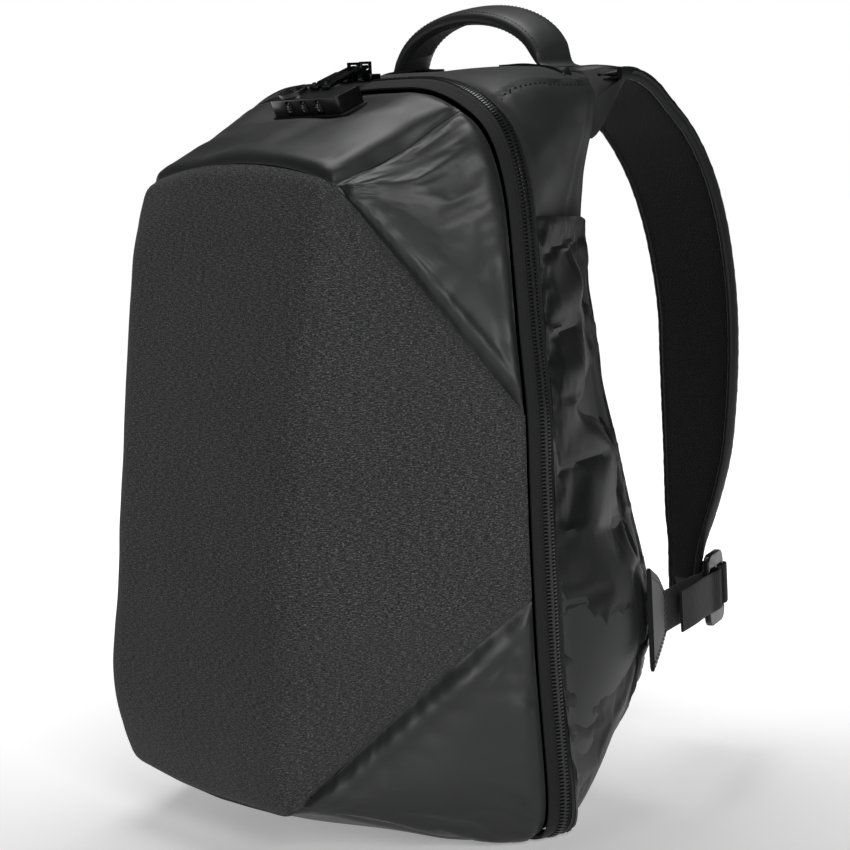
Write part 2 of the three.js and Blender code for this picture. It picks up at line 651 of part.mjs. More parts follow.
// Buckle, webbing and anchor of the right strap. They run from the side's lower rear corner,
// back and in, to the end of the strap.
const buckleAt = v3(0.551 * halfWidth, 1.885 * backDepth, 0.242 * zipHeight);
const anchorEnd = v3(0.865 * halfWidth, backDepth * 0.997, 0.259 * zipHeight);
const along = v3(anchorEnd.x - buckleAt.x, anchorEnd.y - buckleAt.y, 0).normalize().negate();
const across = v3(along.y, -along.x, 0);
const local = (e, n, z) => {
  const p = buckleAt.clone().addScaledVector(along, e).addScaledVector(across, n);
  return [p.x, p.y, z];
};
function bothSides(name, geometry, material) {
  add(name + "_right", geometry, material);
  const left = geometry.clone();
  const p = left.getAttribute("position");
  for (let i = 0; i < p.count; i++) p.setX(i, -p.getX(i));
  const index = Array.from(left.index ? left.index.array : Array.from({ length: p.count }, (_, i) => i));
  for (let i = 0; i < index.length; i += 3) [index[i], index[i + 1]] = [index[i + 1], index[i]];
  left.setIndex(index);
  left.computeVertexNormals();
  add(name + "_left", left, material);
}
{
  let plate = rounded(32, 46, 4, 7, [0, 0, -2]);
  for (const e of [-7.25, 7.25]) plate = plate.subtract(box(10.5, 28, 6, [e, 0, 0]));
  const frame = fromManifold(plate);
  frame.applyMatrix4(
    new THREE.Matrix4().makeBasis(along, v3(0, 0, 1), across.clone()).setPosition(buckleAt),
  );
  bothSides("strap_buckle", frame, plastic);

  const run = anchorEnd.clone().sub(buckleAt).length();
  const [low, high] = [anchorEnd.z, buckleAt.z];
  bothSides(
    "strap_webbing",
    upright(
      [
        local(-run + 0.4, 0, low),
        local(-run * 0.7, -0.5, lerp(low, high, 0.25)),
        local(-run * 0.35, -2.2, lerp(low, high, 0.65)),
        local(-17, -3.3, high),
        local(2, -3.3, high),
        local(4, -1.6, high),
        local(4, 1.6, high),
        local(2, 3.3, high),
        local(-17, 3.3, high),
        local(-run * 0.35, 5, lerp(low, high, 0.75)),
        local(-run * 0.65, 7, lerp(low, high, 0.5)),
        local(-run * 0.86, 6.5, lerp(low, high, 0.4)),
      ],
      25,
      1.5,
    ),
    webbing,
  );
  // Short strip that is sewn behind the end of the strap and holds the buckle's far bar.
  const end = strapPath[strapPath.length - 1];
  const behind = end.y + 2 + 0.4 + 1.7;
  const turn = [local(22, -1.2, high), local(16, -3.3, high), local(12, -3.3, high)];
  const back = [local(12, 3.3, high), local(16, 3.3, high), local(22, 1.2, high)];
  bothSides(
    "strap_stub",
    upright(
      [
        [end.x - 8, behind - 0.95, high],
        [end.x + 7, behind - 0.95, high],
        [end.x + 15, behind + 3, high],
        ...turn,
        local(10, -1.7, high),
        local(10, 1.7, high),
        ...back,
        [end.x + 13.5, behind + 5, high],
        [end.x + 7, behind + 0.95, high],
        [end.x - 8, behind + 0.95, high],
      ],
      25,
      1.5,
    ),
    webbing,
  );
  bothSides(
    "webbing_anchor",
    upright(
      [
        [...local(-run - 30, 1.8, low + 2), 62],
        [...local(-run - 14, 1.1, low + 2), 46],
        [...local(-run, 0, low), 27],
      ],
      25,
      3,
    ),
    coated,
  );
}

// Lock, zip sliders and pull tabs. In the lock's own frame the floor of its body is z = 0 and the
// zip lies towards +y.
const lock = new THREE.Group();
const lockTilt = (20 * Math.PI) / 180;
const lockTall = 10;
lock.rotation.x = lockTilt;
lock.position.set(0, lockAt.y + lockTall * Math.sin(lockTilt), 0.9884 * zipHeight - lockTall * Math.cos(lockTilt));
group.add(lock);

const dialsAt = [-14, 0.5, 15];
const dialLine = { y: -7.2, z: 4.6 };
const keyAt = { x: -20, y: 0.5 };
let body = rounded(66, 20, lockTall, 3, [0, 0, 0]);
body = body.add(rod(9, 2.6, [keyAt.x, keyAt.y, lockTall + 1.3], "z", 28));
body = body.subtract(rod(5.4, 4, [keyAt.x, keyAt.y, lockTall + 2], "z", 24));
for (const x of dialsAt) body = body.subtract(box(5.8, 12, 9.4, [x, -8.5, 4.4]));
body = body.add(rod(1.2, 44, [0.5, dialLine.y, dialLine.z], "x", 12));
const pullsAt = [-5.8, 5.8];
for (const x of pullsAt) body = body.add(rod(1.2, 4.6, [x, 6.5, lockTall + 1.8], "z", 12));
add("lock_body", fromManifold(body), plastic, lock);
add("lock_base", fromManifold(rounded(71, 21.5, 1.3, 4, [0, 0, -1.6])), lining, lock);
dialsAt.forEach((x, i) => {
  let dial = rod(4.2, 4.8, [x, dialLine.y, dialLine.z], "x", 20);
  dial = dial.subtract(rod(1.5, 8, [x, dialLine.y, dialLine.z], "x", 12));
  add(`lock_dial_${i + 1}`, fromManifold(dial), metal, lock);
});
let key = rod(5, 2.9, [keyAt.x, keyAt.y, lockTall + 1.75], "z", 24);
key = key.subtract(box(1.4, 6, 2, [keyAt.x, keyAt.y, lockTall + 3.2]));
add("lock_key_core", fromManifold(key), metal, lock);

pullsAt.forEach((x, i) => {
  const name = i ? "right" : "left";
  const [from, to, z] = [4, 37.4, lockTall + 1.4];
  let tab = rounded(8.6, to - from, 1.8, 2.6, [x, (from + to) / 2, z - 0.9]);
  tab = tab.add(box(7, 15, 0.8, [x, (from + to) / 2 - 2, z + 1.2]));
  tab = tab.subtract(rod(1.7, 4, [x, 6.5, z], "z", 14));
  tab = tab.subtract(box(4.8, 6.6, 4, [x, to - 5.1, z]));
  add("pull_tab_" + name, fromManifold(tab), metal, lock);
});

// Sliders ride on the chain; each bail is an arch across it that holds the pull tab's end.
const chainTop = outline(0, 0.13, 1).z;
pullsAt.forEach((x, i) => {
  const name = i ? "right" : "left";
  const towards = i ? 1 : -1;
  let slider = rounded(13, 9, 3.4, 2, [x + towards * 3.2, 0, chainTop + 0.35]);
  slider = slider.add(box(1.8, 8.2, 8.4, [x, 0, chainTop + 7.1]));
  slider = slider.subtract(box(3, 5.2, 3.3, [x, 0, chainTop + 8.1]));
  add("zip_slider_" + name, fromManifold(slider), metal);
});

export default group;
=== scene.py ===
import math
import bmesh
import bpy
import numpy as np
from mathutils import Matrix, Vector


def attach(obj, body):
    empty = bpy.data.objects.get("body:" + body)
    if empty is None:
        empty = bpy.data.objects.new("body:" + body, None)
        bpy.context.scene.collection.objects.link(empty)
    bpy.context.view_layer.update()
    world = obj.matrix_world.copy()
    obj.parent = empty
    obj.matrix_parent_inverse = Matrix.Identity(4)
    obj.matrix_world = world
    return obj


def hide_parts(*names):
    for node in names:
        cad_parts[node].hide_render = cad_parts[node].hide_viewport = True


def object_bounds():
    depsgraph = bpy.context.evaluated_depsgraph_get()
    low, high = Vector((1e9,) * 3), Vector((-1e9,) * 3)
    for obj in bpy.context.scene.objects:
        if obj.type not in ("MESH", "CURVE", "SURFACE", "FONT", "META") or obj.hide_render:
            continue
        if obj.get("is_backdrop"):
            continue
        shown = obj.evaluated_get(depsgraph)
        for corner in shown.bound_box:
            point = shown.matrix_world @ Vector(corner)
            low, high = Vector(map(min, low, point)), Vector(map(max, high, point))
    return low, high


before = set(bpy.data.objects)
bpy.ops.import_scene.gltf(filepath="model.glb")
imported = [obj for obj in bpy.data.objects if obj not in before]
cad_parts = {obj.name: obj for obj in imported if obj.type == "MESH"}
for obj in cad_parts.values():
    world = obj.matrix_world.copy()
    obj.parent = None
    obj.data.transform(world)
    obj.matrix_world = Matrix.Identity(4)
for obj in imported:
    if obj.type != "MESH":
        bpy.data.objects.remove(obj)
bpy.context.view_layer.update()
scene = bpy.context.scene

# Shapes are worked out in millimetres and made in metres.
MM = 0.001


# ---- Camera ----
# Seen from the front right, a little above the middle, through a long lens.
PHOTO_EYE = Vector((1.08423, -0.83091, 0.414))
PHOTO_RIGHT = Vector((0.6289, 0.7757, -0.0528))
PHOTO_UP = Vector((-0.0727, 0.1263, 0.9893))
FOCAL_PIXELS, FRAME_PIXELS, SENSOR = 2279.0, 850.0, 36.0
# Level way from the eye past the bag to the backdrop.
BACKDROP = Vector((-0.781, 0.624, 0.0))


def place_camera():
    data = bpy.data.cameras.new("photo_camera")
    data.sensor_width = SENSOR
    data.lens = FOCAL_PIXELS / FRAME_PIXELS * SENSOR
    camera = bpy.data.objects.new("photo_camera", data)
    scene.collection.objects.link(camera)
    right = PHOTO_RIGHT.normalized()
    back = right.cross(PHOTO_UP).normalized()
    up = back.cross(right)
    turn = Matrix((right, up, back)).transposed().to_4x4()
    camera.matrix_world = Matrix.Translation(PHOTO_EYE) @ turn
    scene.camera = camera


place_camera()


# ---- Materials ----
def linear(code):
    """An sRGB colour such as "3a3b3c" as linear red, green, blue and alpha."""
    channels = [int(code[i:i + 2], 16) / 255 for i in (0, 2, 4)]
    return [c / 12.92 if c <= 0.04045 else ((c + 0.055) / 1.055) ** 2.4 for c in channels] + [1.0]


def add(tree, kind, inputs=None, stops=(), **settings):
    """Adds a node with its settings. Its inputs are values, or nodes and outputs to link to them;
    stops are the (place, colour code) pairs of a colour ramp."""
    made = tree.nodes.new("ShaderNode" + kind)
    for name, value in settings.items():
        setattr(made, name, value)
    for i, (at, code) in enumerate(stops):
        elements = made.color_ramp.elements
        stop = elements[0] if i == 0 else elements[-1] if i == len(stops) - 1 else elements.new(at)
        stop.position, stop.color = at, linear(code)
    for name, value in (inputs or {}).items():
        if isinstance(value, bpy.types.Node):
            value = next(out for out in value.outputs if out.enabled)
        if isinstance(value, bpy.types.NodeSocket):
            tree.links.new(value, made.inputs[name])
        else:
            made.inputs[name].default_value = value
    return made


def begin(name):
    material = bpy.data.materials.new(name)
    material.use_nodes = True
    tree = material.node_tree
    tree.nodes.clear()
    return material, tree


def complete(tree, colour, roughness, height, depth, strength=1.0, **fixed):
    """Joins colour, roughness and relief to the surface; fixed values go on its own sockets."""
    relief = add(tree, "Bump", {"Height": height, "Distance": depth, "Strength": strength})
    inputs = {"Base Color": colour, "Roughness": roughness, "Normal": relief}
    inputs.update({name.replace("_", " "): value for name, value in fixed.items()})
    add(tree, "OutputMaterial", {"Surface": add(tree, "BsdfPrincipled", inputs)})


def heather_polyester():
    # Polyester melange, woven from yarns of two greys: fine level streaks with no gloss. The streaks
    # are about 4 mm long and 0.6 mm high, the single threads twice as fine.
    material, tree = begin("heather_polyester")
    cloth = add(tree, "UVMap")
    long_way = add(tree, "Mapping", {"Vector": cloth, "Scale": (250, 1500, 1)})
    streaks = add(tree, "TexNoise", {"Vector": long_way, "Scale": 1.0, "Detail": 5.0, "Roughness": 0.7})
    short_way = add(tree, "Mapping", {"Vector": cloth, "Scale": (800, 2200, 1)})
    threads = add(tree, "TexNoise", {"Vector": short_way, "Scale": 1.0, "Detail": 2.0, "Roughness": 0.6})
    fine = add(tree, "Math", {0: threads, 1: 0.52}, operation="MULTIPLY")
    mixed = add(tree, "Math", {0: streaks, 1: 0.48, 2: fine}, operation="MULTIPLY_ADD")
    yarns = add(tree, "ValToRGB", {"Fac": mixed}, [(0.38, "151516"), (0.46, "2c2c2d"), (0.53, "434344"),
                                                   (0.61, "727272")])
    broad_way = add(tree, "Mapping", {"Vector": cloth, "Scale": (9, 14, 1)})
    broad = add(tree, "TexNoise", {"Vector": broad_way, "Scale": 1.0})
    shade = add(tree, "MapRange", {"Value": broad, "From Min": 0.35, "From Max": 0.75, "To Max": 0.16})
    colour = add(tree, "Mix", {0: shade, 6: yarns, 7: linear("252526")}, data_type="RGBA")
    rough = add(tree, "MapRange", {"Value": streaks, "To Min": 0.86, "To Max": 0.98})
    complete(tree, colour, rough, mixed, 0.0003, 0.6, Sheen_Weight=0.06, Sheen_Roughness=0.5,
             Specular_IOR_Level=0.2)
    return material


def coated_polyester(name, dark, light, worn, smooth, shine=0.5):
    # Polyester coated with polyurethane: a satin skin over a weave so fine that it shows as grain.
    # smooth is its roughness where it isn't rubbed, shine the strength of its highlights.
    material, tree = begin(name)
    where = add(tree, "TexCoord").outputs["Object"]
    grain = add(tree, "TexNoise", {"Vector": where, "Scale": 1500.0, "Detail": 3.0, "Roughness": 0.6})
    pores = add(tree, "TexNoise", {"Vector": where, "Scale": 620.0})
    broad = add(tree, "TexNoise", {"Vector": where, "Scale": 16.0, "Detail": 3.0})
    half = add(tree, "Math", {0: grain, 1: 0.45}, operation="MULTIPLY")
    mixed = add(tree, "Math", {0: broad, 1: 0.55, 2: half}, operation="MULTIPLY_ADD")
    skin = add(tree, "ValToRGB", {"Fac": mixed}, [(0.3, dark), (0.72, light)])
    edge = add(tree, "NewGeometry").outputs["Pointiness"]
    rubbed = add(tree, "MapRange", {"Value": edge, "From Min": 0.53, "From Max": 0.64, "To Max": 0.25})
    colour = add(tree, "Mix", {0: rubbed, 6: skin, 7: linear(worn)}, data_type="RGBA")
    rough = add(tree, "MapRange", {"Value": mixed, "From Min": 0.3, "From Max": 0.7,
                                   "To Min": smooth - 0.04, "To Max": smooth + 0.06})
    height = add(tree, "Mix", {0: 0.35, 2: grain, 3: pores})
    complete(tree, colour, rough, height, 0.0001, 0.5, Sheen_Weight=0.03, Specular_IOR_Level=shine)
    return material


BAND_OF_1_MM = 159  # scale at which a wave's bright band and its dark band are each 1 mm wide


def woven_tape(name, dark, light, pitch_mm, rib=0.5):
    # Polyester tape woven flat: fine ribs across its length, broken up by the fuzz of its threads.
    material, tree = begin(name)
    cloth = add(tree, "UVMap")
    ribs = add(tree, "TexWave", {"Vector": cloth, "Scale": BAND_OF_1_MM / pitch_mm, "Distortion": 0.5,
                                 "Detail": 1.0, "Detail Scale": 2.0}, bands_direction="Y").outputs["Fac"]
    twill = add(tree, "TexWave", {"Vector": cloth, "Scale": 100 / pitch_mm, "Distortion": 0.3},
                bands_direction="DIAGONAL").outputs["Fac"]
    fuzz = add(tree, "TexNoise", {"Vector": cloth, "Scale": 1500.0, "Detail": 3.0, "Roughness": 0.7})
    weave = add(tree, "Mix", {0: 0.33, 2: ribs, 3: twill})
    height = add(tree, "Mix", {0: 1 - rib, 2: weave, 3: fuzz})
    colour = add(tree, "ValToRGB", {"Fac": height}, [(0.3, dark), (0.75, light)])
    rough = add(tree, "MapRange", {"Value": fuzz, "To Min": 0.7, "To Max": 0.9})
    complete(tree, colour, rough, height, 0.00025, 0.7, Sheen_Weight=0.05, Specular_IOR_Level=0.3)
    return material


def spacer_mesh():
    # Polyester spacer mesh: two knitted faces held apart by yarns, so its small holes look deep.
    material, tree = begin("spacer_mesh")
    cloth = add(tree, "UVMap")
    turned_way = add(tree, "Mapping", {"Vector": cloth, "Rotation": (0, 0, math.radians(45)),
                                       "Scale": (620, 620, 1)})
    cells = add(tree, "TexVoronoi", {"Vector": turned_way, "Scale": 1.0, "Randomness": 0.06},
                voronoi_dimensions="2D")
    hole = add(tree, "MapRange", {"Value": cells, "From Min": 0.2, "From Max": 0.46})
    fuzz = add(tree, "TexNoise", {"Vector": cloth, "Scale": 1900.0})
    height = add(tree, "Mix", {0: 0.3, 2: hole, 3: fuzz})
    # Colour follows the height: the holes are darker, which is painted shade in their depth.
    colour = add(tree, "ValToRGB", {"Fac": height}, [(0.15, "040405"), (0.55, "0b0b0c"), (0.9, "161617")])
    rough = add(tree, "MapRange", {"Value": fuzz, "To Min": 0.8, "To Max": 0.95})
    complete(tree, colour, rough, height, 0.0005, 0.7, Sheen_Weight=0.06, Specular_IOR_Level=0.2)
    return material


def moulded(name, dark, light, rough_low, rough_high, grain, depth, **fixed):
    # Injection-moulded plastic: an even colour, a fine texture from the mould and rubbed edges.
    material, tree = begin(name)
    where = add(tree, "TexCoord").outputs["Object"]
    fine = add(tree, "TexNoise", {"Vector": where, "Scale": float(grain)})
    broad = add(tree, "TexNoise", {"Vector": where, "Scale": 140.0, "Detail": 3.0})
    body = add(tree, "ValToRGB", {"Fac": broad}, [(0.3, dark), (0.7, light)])
    edge = add(tree, "NewGeometry").outputs["Pointiness"]
    rubbed = add(tree, "MapRange", {"Value": edge, "From Min": 0.53, "From Max": 0.66, "To Max": 0.4})
    colour = add(tree, "Mix", {0: rubbed, 6: body, 7: linear("2e2f31")}, data_type="RGBA")
    rough = add(tree, "MapRange", {"Value": broad, "To Min": rough_low, "To Max": rough_high})
    complete(tree, colour, rough, fine, depth, 0.4, **fixed)
    return material


def black_chrome():
    # Zinc plated with black chrome: a dark mirror with hair-thin rubbing marks.
    material, tree = begin("black_chrome")
    where = add(tree, "TexCoord").outputs["Object"]
    long_way = add(tree, "Mapping", {"Vector": where, "Scale": (260, 2400, 900)})
    marks = add(tree, "TexNoise", {"Vector": long_way, "Scale": 1.0, "Detail": 3.0})
    broad = add(tree, "TexNoise", {"Vector": where, "Scale": 190.0})
    colour = add(tree, "ValToRGB", {"Fac": broad}, [(0.3, "232427"), (0.7, "3c3e42")])
    rough = add(tree, "MapRange", {"Value": marks, "To Min": 0.12, "To Max": 0.32})
    complete(tree, colour, rough, marks, 0.00002, 0.3, Metallic=1.0)
    return material


def number_paint():
    # Paint pressed into the dials' numbers: matte, slightly off white.
    material, tree = begin("number_paint")
    where = add(tree, "TexCoord").outputs["Object"]
    specks = add(tree, "TexNoise", {"Vector": where, "Scale": 3000.0})
    colour = add(tree, "ValToRGB", {"Fac": specks}, [(0.3, "a9a9a4"), (0.7, "cfcfca")])
    rough = add(tree, "MapRange", {"Value": specks, "To Min": 0.5, "To Max": 0.7})
    complete(tree, colour, rough, specks, 0.00002, 0.3)
    return material


def studio_paper():
    # Seamless studio paper: matte and white, with a faint tooth. Behind the bag it glows, as paper
    # does that is lit on its own, so it ends in white.
    material, tree = begin("studio_paper")
    where = add(tree, "TexCoord").outputs["Object"]
    tooth = add(tree, "TexNoise", {"Vector": where, "Scale": 700.0})
    colour = add(tree, "ValToRGB", {"Fac": tooth}, [(0.3, "f4f4f4"), (0.7, "fafafa")])
    rough = add(tree, "MapRange", {"Value": tooth, "To Min": 0.85, "To Max": 0.95})
    far = add(tree, "VectorMath", {0: where, 1: BACKDROP * 20}, operation="DISTANCE").outputs["Value"]
    glow = add(tree, "MapRange", {"Value": far, "From Min": 19.3, "From Max": 20.2,
                                  "To Min": 1.0, "To Max": 0.18})
    complete(tree, colour, rough, tooth, 0.0001, 0.2, Emission_Color=linear("ffffff"),
             Emission_Strength=glow)
    return material


HEATHER = heather_polyester()
COATED = coated_polyester("coated_polyester", "1e1f1f", "292a2a", "3c3d3d", 0.46)
# A darker copy of the same coated polyester, for faces that get less light: its darkness is painted
# shade.
COATED_SHADED = coated_polyester("coated_polyester_painted_shade", "0d0e0e", "141515", "222323", 0.44, 0.29)
LINING = coated_polyester("seam_lining", "0a0a0b", "131314", "1c1c1d", 0.8)
ZIP_TAPE = woven_tape("zip_tape_weave", "070707", "2b2c2c", 0.9, 0.08)
WEBBING = woven_tape("nylon_webbing", "080809", "1b1b1c", 1.7)
BINDING = woven_tape("edge_binding", "121213", "2a2a2b", 1.2, 0.4)
THREAD = woven_tape("bonded_thread", "080808", "141415", 0.6)
MESH = spacer_mesh()
COIL = moulded("nylon_coil", "060607", "101011", 0.22, 0.36, 1800, 0.00003)
ACETAL = moulded("acetal", "070708", "0f0f10", 0.3, 0.42, 2200, 0.00004)
GLOSS_ABS = moulded("gloss_abs", "070708", "0e0e0f", 0.24, 0.34, 900, 0.00001, Coat_Weight=0.4,
                    Coat_Roughness=0.18)
DIAL_ABS = moulded("dial_abs", "141416", "1f1f22", 0.22, 0.34, 1500, 0.00003)
RUBBER = moulded("rubber", "080808", "101010", 0.7, 0.85, 1500, 0.00006)
CHROME = black_chrome()
PAINT = number_paint()
PAPER = studio_paper()


# ---- Mesh helpers ----
def put(name, points, faces, material, slot=None, nodes=(), body="bag", uv=None, sharp=40):
    """A piece from points in millimetres; uv holds a place on the cloth, in metres, for each point."""
    data = bpy.data.meshes.new(name)
    data.from_pydata((np.asarray(points, float) * MM).tolist(), [], [list(map(int, f)) for f in faces])
    mesh = bmesh.new()
    mesh.from_mesh(data)
    bmesh.ops.recalc_face_normals(mesh, faces=mesh.faces)
    mesh.to_mesh(data)
    mesh.free()
    if uv is not None:
        corners = np.zeros(len(data.loops), int)
        data.loops.foreach_get("vertex_index", corners)
        layer = data.uv_layers.new(name="cloth")
        layer.data.foreach_set("uv", np.asarray(uv, float)[corners].ravel())
    data.polygons.foreach_set("use_smooth", np.ones(len(data.polygons), bool))
    if sharp:
        data.set_sharp_from_angle(angle=math.radians(sharp))
    data.materials.append(material)
    made = bpy.data.objects.new(name, data)
    scene.collection.objects.link(made)
    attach(made, body)
    if nodes:
        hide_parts(*nodes)
    return made


def grid_faces(rows, cols, start=0, around=False):
    """Faces of a grid of points, closed sideways if around."""
    r, c = np.meshgrid(np.arange(rows - 1), np.arange(cols if around else cols - 1), indexing="ij")
    d = (c + 1) % cols
    at = lambda i, j: start + i * cols + j
    return np.stack([at(r, c), at(r + 1, c), at(r + 1, d), at(r, d)], -1).reshape(-1, 4)


def unit(v):
    return v / np.maximum(np.linalg.norm(v, axis=-1, keepdims=True), 1e-9)


def outward(grid, away):
    """Normals of a grid, on the side that away points to."""
    n = unit(np.cross(np.gradient(grid, axis=1), np.gradient(grid, axis=0)))
    return n if (n * away).sum() > 0 else -n


def cloth_uv(grid):
    """Distances along and across a grid, in metres, measured on its middle lines."""
    rows, cols = grid.shape[:2]
    along = np.linalg.norm(np.diff(grid, axis=0), axis=-1).max(axis=1)
    across = np.linalg.norm(np.diff(grid, axis=1), axis=-1)
    v = np.concatenate([[0], np.cumsum(along)])
    u = np.concatenate([np.zeros((rows, 1)), np.cumsum(across, axis=1)], axis=1)
    u = u - u[:, cols // 2][:, None]
    return np.stack([u, np.broadcast_to(-v[:, None], u.shape)], -1).reshape(-1, 2) * MM


def sheet_of(name, grid, normals, thick, material, **more):
    """A closed sheet of cloth: the grid is its outer face, and its inner face lies thick below."""
    rows, cols = grid.shape[:2]
    inner = grid - normals * thick
    count = rows * cols
    outside = grid_faces(rows, cols)
    rim = [r * cols for r in range(rows)] + [(rows - 1) * cols + c for c in range(1, cols)]
    rim += [r * cols + cols - 1 for r in range(rows - 2, -1, -1)] + list(range(cols - 2, 0, -1))
    sides = [(b, a, a + count, b + count) for a, b in zip(rim, rim[1:] + rim[:1])]
    faces = np.concatenate([outside, outside[:, ::-1] + count, np.array(sides)])
    points = np.concatenate([grid.reshape(-1, 3), inner.reshape(-1, 3)])
    uv = cloth_uv(grid)
    return put(name, points, faces, material, uv=np.concatenate([uv, uv]), **more)


def resampled(grid, count, bends=()):
    """Smooth curves through the grid's rows, drawn with count rows at even distances. bends holds
    (row, share for each column) where a column keeps a corner instead."""
    grid = np.asarray(grid, float)
    chord = np.maximum(np.linalg.norm(np.diff(grid, axis=0), axis=-1).mean(axis=1), 0.01)
    at = np.concatenate([[0], np.cumsum(chord)])
    slope = np.diff(grid, axis=0) / chord[:, None, None]
    middle = grid * 0
    before, after = chord[:-1, None, None], chord[1:, None, None]
    middle[1:-1] = (slope[:-1] * after + slope[1:] * before) / (before + after)
    middle[0], middle[-1] = slope[0], slope[-1]
    start, end = middle[:-1].copy(), middle[1:].copy()
    for row, share in bends:
        share = np.asarray(share, float)[:, None]
        start[row] += (slope[row] - start[row]) * share
        end[row - 1] += (slope[row - 1] - end[row - 1]) * share
    q = np.linspace(0, at[-1], count)
    i = np.clip(np.searchsorted(at, q, "right") - 1, 0, len(chord) - 1)
    h = chord[i][:, None, None]
    t = ((q - at[i]) / chord[i])[:, None, None]
    a = (2 * t**3 - 3 * t**2 + 1) * grid[i] + (t**3 - 2 * t**2 + t) * h * start[i]
    return a + (3 * t**2 - 2 * t**3) * grid[i + 1] + (t**3 - t**2) * h * end[i]


def turned(grid):
    return np.swapaxes(grid, 0, 1)


def refined(grid, rows, cols, bends=(), side_bends=()):
    tall = resampled(grid, rows, bends)
    return turned(resampled(turned(tall), cols, side_bends))


def mirrored(grid):
    return np.asarray(grid) * np.array([-1.0, 1.0, 1.0])


def edge_distances(grid):
    """Distance of each point of a grid from its first row, last row, first column, last column."""
    down = np.linalg.norm(np.diff(grid, axis=0), axis=-1)
    over = np.linalg.norm(np.diff(grid, axis=1), axis=-1)
    top = np.concatenate([np.zeros((1, grid.shape[1])), np.cumsum(down, axis=0)])
    left = np.concatenate([np.zeros((grid.shape[0], 1)), np.cumsum(over, axis=1)], axis=1)
    return [top, top[-1:] - top, left, left[:, -1:] - left]


def near(distance, width):
    return np.exp(-((distance / width) ** 2))


def ripple(points, size, seed, stretch=(1, 1, 1)):
    """Smooth unevenness from about -1 to 1 with bumps of a size in mm, longer where stretched."""
    draw = np.random.RandomState(seed)
    total = np.zeros(points.shape[:-1])
    for _ in range(16):
        way = unit(draw.normal(size=3)) * draw.uniform(0.6, 1.5) * 2 * math.pi / size
        total += np.sin(points @ (way / np.array(stretch)) + draw.uniform(0, 2 * math.pi))
    return total / 4.5


def folded(grid, normals, folds):
    """Adds folds to a grid: each runs between two places given as shares of its rows and columns,
    with a width and height in mm. A fold is a rounded ridge, or a crease if its height is negative."""
    rows, cols = grid.shape[:2]
    moved = grid.copy()
    for (r0, c0), (r1, c1), width, height in folds:
        place = lambda r, c: grid[int(round(r * (rows - 1))), int(round(c * (cols - 1)))]
        middle = place((r0 + r1) / 2, (c0 + c1) / 2)
        a, b = place(r0, c0), place(r1, c1)
        first, last = middle - a, b - middle
        best = np.full((rows, cols), 1e9)
        taper = np.zeros((rows, cols))
        for start, run, t0 in ((a, first, 0.0), (middle, last, 0.5)):
            t = ((grid - start) @ run) / (run @ run)
            d = np.linalg.norm(grid - start - np.clip(t, 0, 1)[..., None] * run, axis=-1)
            share = t0 + np.clip(t, 0, 1) / 2
            taper = np.where(d < best, np.sin(np.pi * np.clip(share, 0.02, 0.98)) ** 0.7, taper)
            best = np.minimum(best, d)
        moved += normals * (height * near(best, width) * taper)[..., None]
    return moved


def settled(grid, normals, pressure, grow, cap, frames=16, bend=0.6):
    """The grid after a cloth simulation that holds its edges: cut larger by the share grow, pushed
    out by pressure. No point moves by more than cap mm."""
    rows, cols = grid.shape[:2]
    faces = grid_faces(rows, cols)
    face = faces[len(faces) // 2]
    p = grid.reshape(-1, 3)
    side = np.cross(p[face[1]] - p[face[0]], p[face[3]] - p[face[0]])
    if side @ normals.reshape(-1, 3)[face[0]] < 0:
        faces = faces[:, ::-1]
    data = bpy.data.meshes.new("cloth")
    data.from_pydata((p * MM).tolist(), [], faces.tolist())
    cloth = bpy.data.objects.new("cloth", data)
    scene.collection.objects.link(cloth)
    r, c = np.meshgrid(np.arange(rows), np.arange(cols), indexing="ij")
    edge = (r == 0) | (r == rows - 1) | (c == 0) | (c == cols - 1)
    held = cloth.vertex_groups.new(name="held")
    held.add(np.flatnonzero(edge.ravel()).tolist(), 1.0, "REPLACE")
    change = cloth.modifiers.new("cloth", "CLOTH")
    change.settings.quality = 5
    change.settings.mass = 0.2
    change.settings.tension_stiffness = 25
    change.settings.compression_stiffness = 12
    change.settings.shear_stiffness = 8
    change.settings.bending_stiffness = bend
    change.settings.use_pressure = True
    change.settings.uniform_pressure_force = pressure
    change.settings.shrink_min = -grow
    change.settings.vertex_group_mass = "held"
    change.settings.effector_weights.gravity = 0
    change.point_cache.frame_end = frames
    for f in range(1, frames + 1):
        scene.frame_set(f)
    seen = cloth.evaluated_get(bpy.context.evaluated_depsgraph_get())
    found = np.zeros(rows * cols * 3)
    seen.data.vertices.foreach_get("co", found)
    scene.frame_set(1)
    bpy.data.objects.remove(cloth)
    bpy.data.meshes.remove(data)
    move = found.reshape(rows, cols, 3) / MM - grid
    size = np.linalg.norm(move, axis=-1, keepdims=True)
    return grid + move * (cap * np.tanh(size / cap) / np.maximum(size, 1e-6))


def edge_line(grid, normals, edge, away, keep=(0.02, 0.98)):
    """The line at a distance from one edge of a grid (0 first row, 1 last row, 2 first column,
    3 last column) and the normals along it."""
    turn = [lambda g: g, lambda g: g[::-1], turned, lambda g: turned(g)[::-1]][edge]
    g, n = turn(grid), turn(normals)
    steps = np.linalg.norm(np.diff(g, axis=0), axis=-1)
    run = np.concatenate([np.zeros((1, g.shape[1])), np.cumsum(steps, axis=0)])
    points, ways = [], []
    for k in range(int(keep[0] * g.shape[1]), int(keep[1] * g.shape[1])):
        i = int(np.clip(np.searchsorted(run[:, k], away), 1, len(run) - 1))
        t = (away - run[i - 1, k]) / max(run[i, k] - run[i - 1, k], 1e-6)
        t = min(max(t, 0), 1)
        points.append(g[i - 1, k] * (1 - t) + g[i, k] * t)
        ways.append(n[i, k])
    return np.array(points), np.array(ways)


def run_along(line):
    """Distance of each place of a line from its first place, measured on the line."""
    return np.concatenate([[0], np.cumsum(np.linalg.norm(np.diff(line, axis=0), axis=1))])


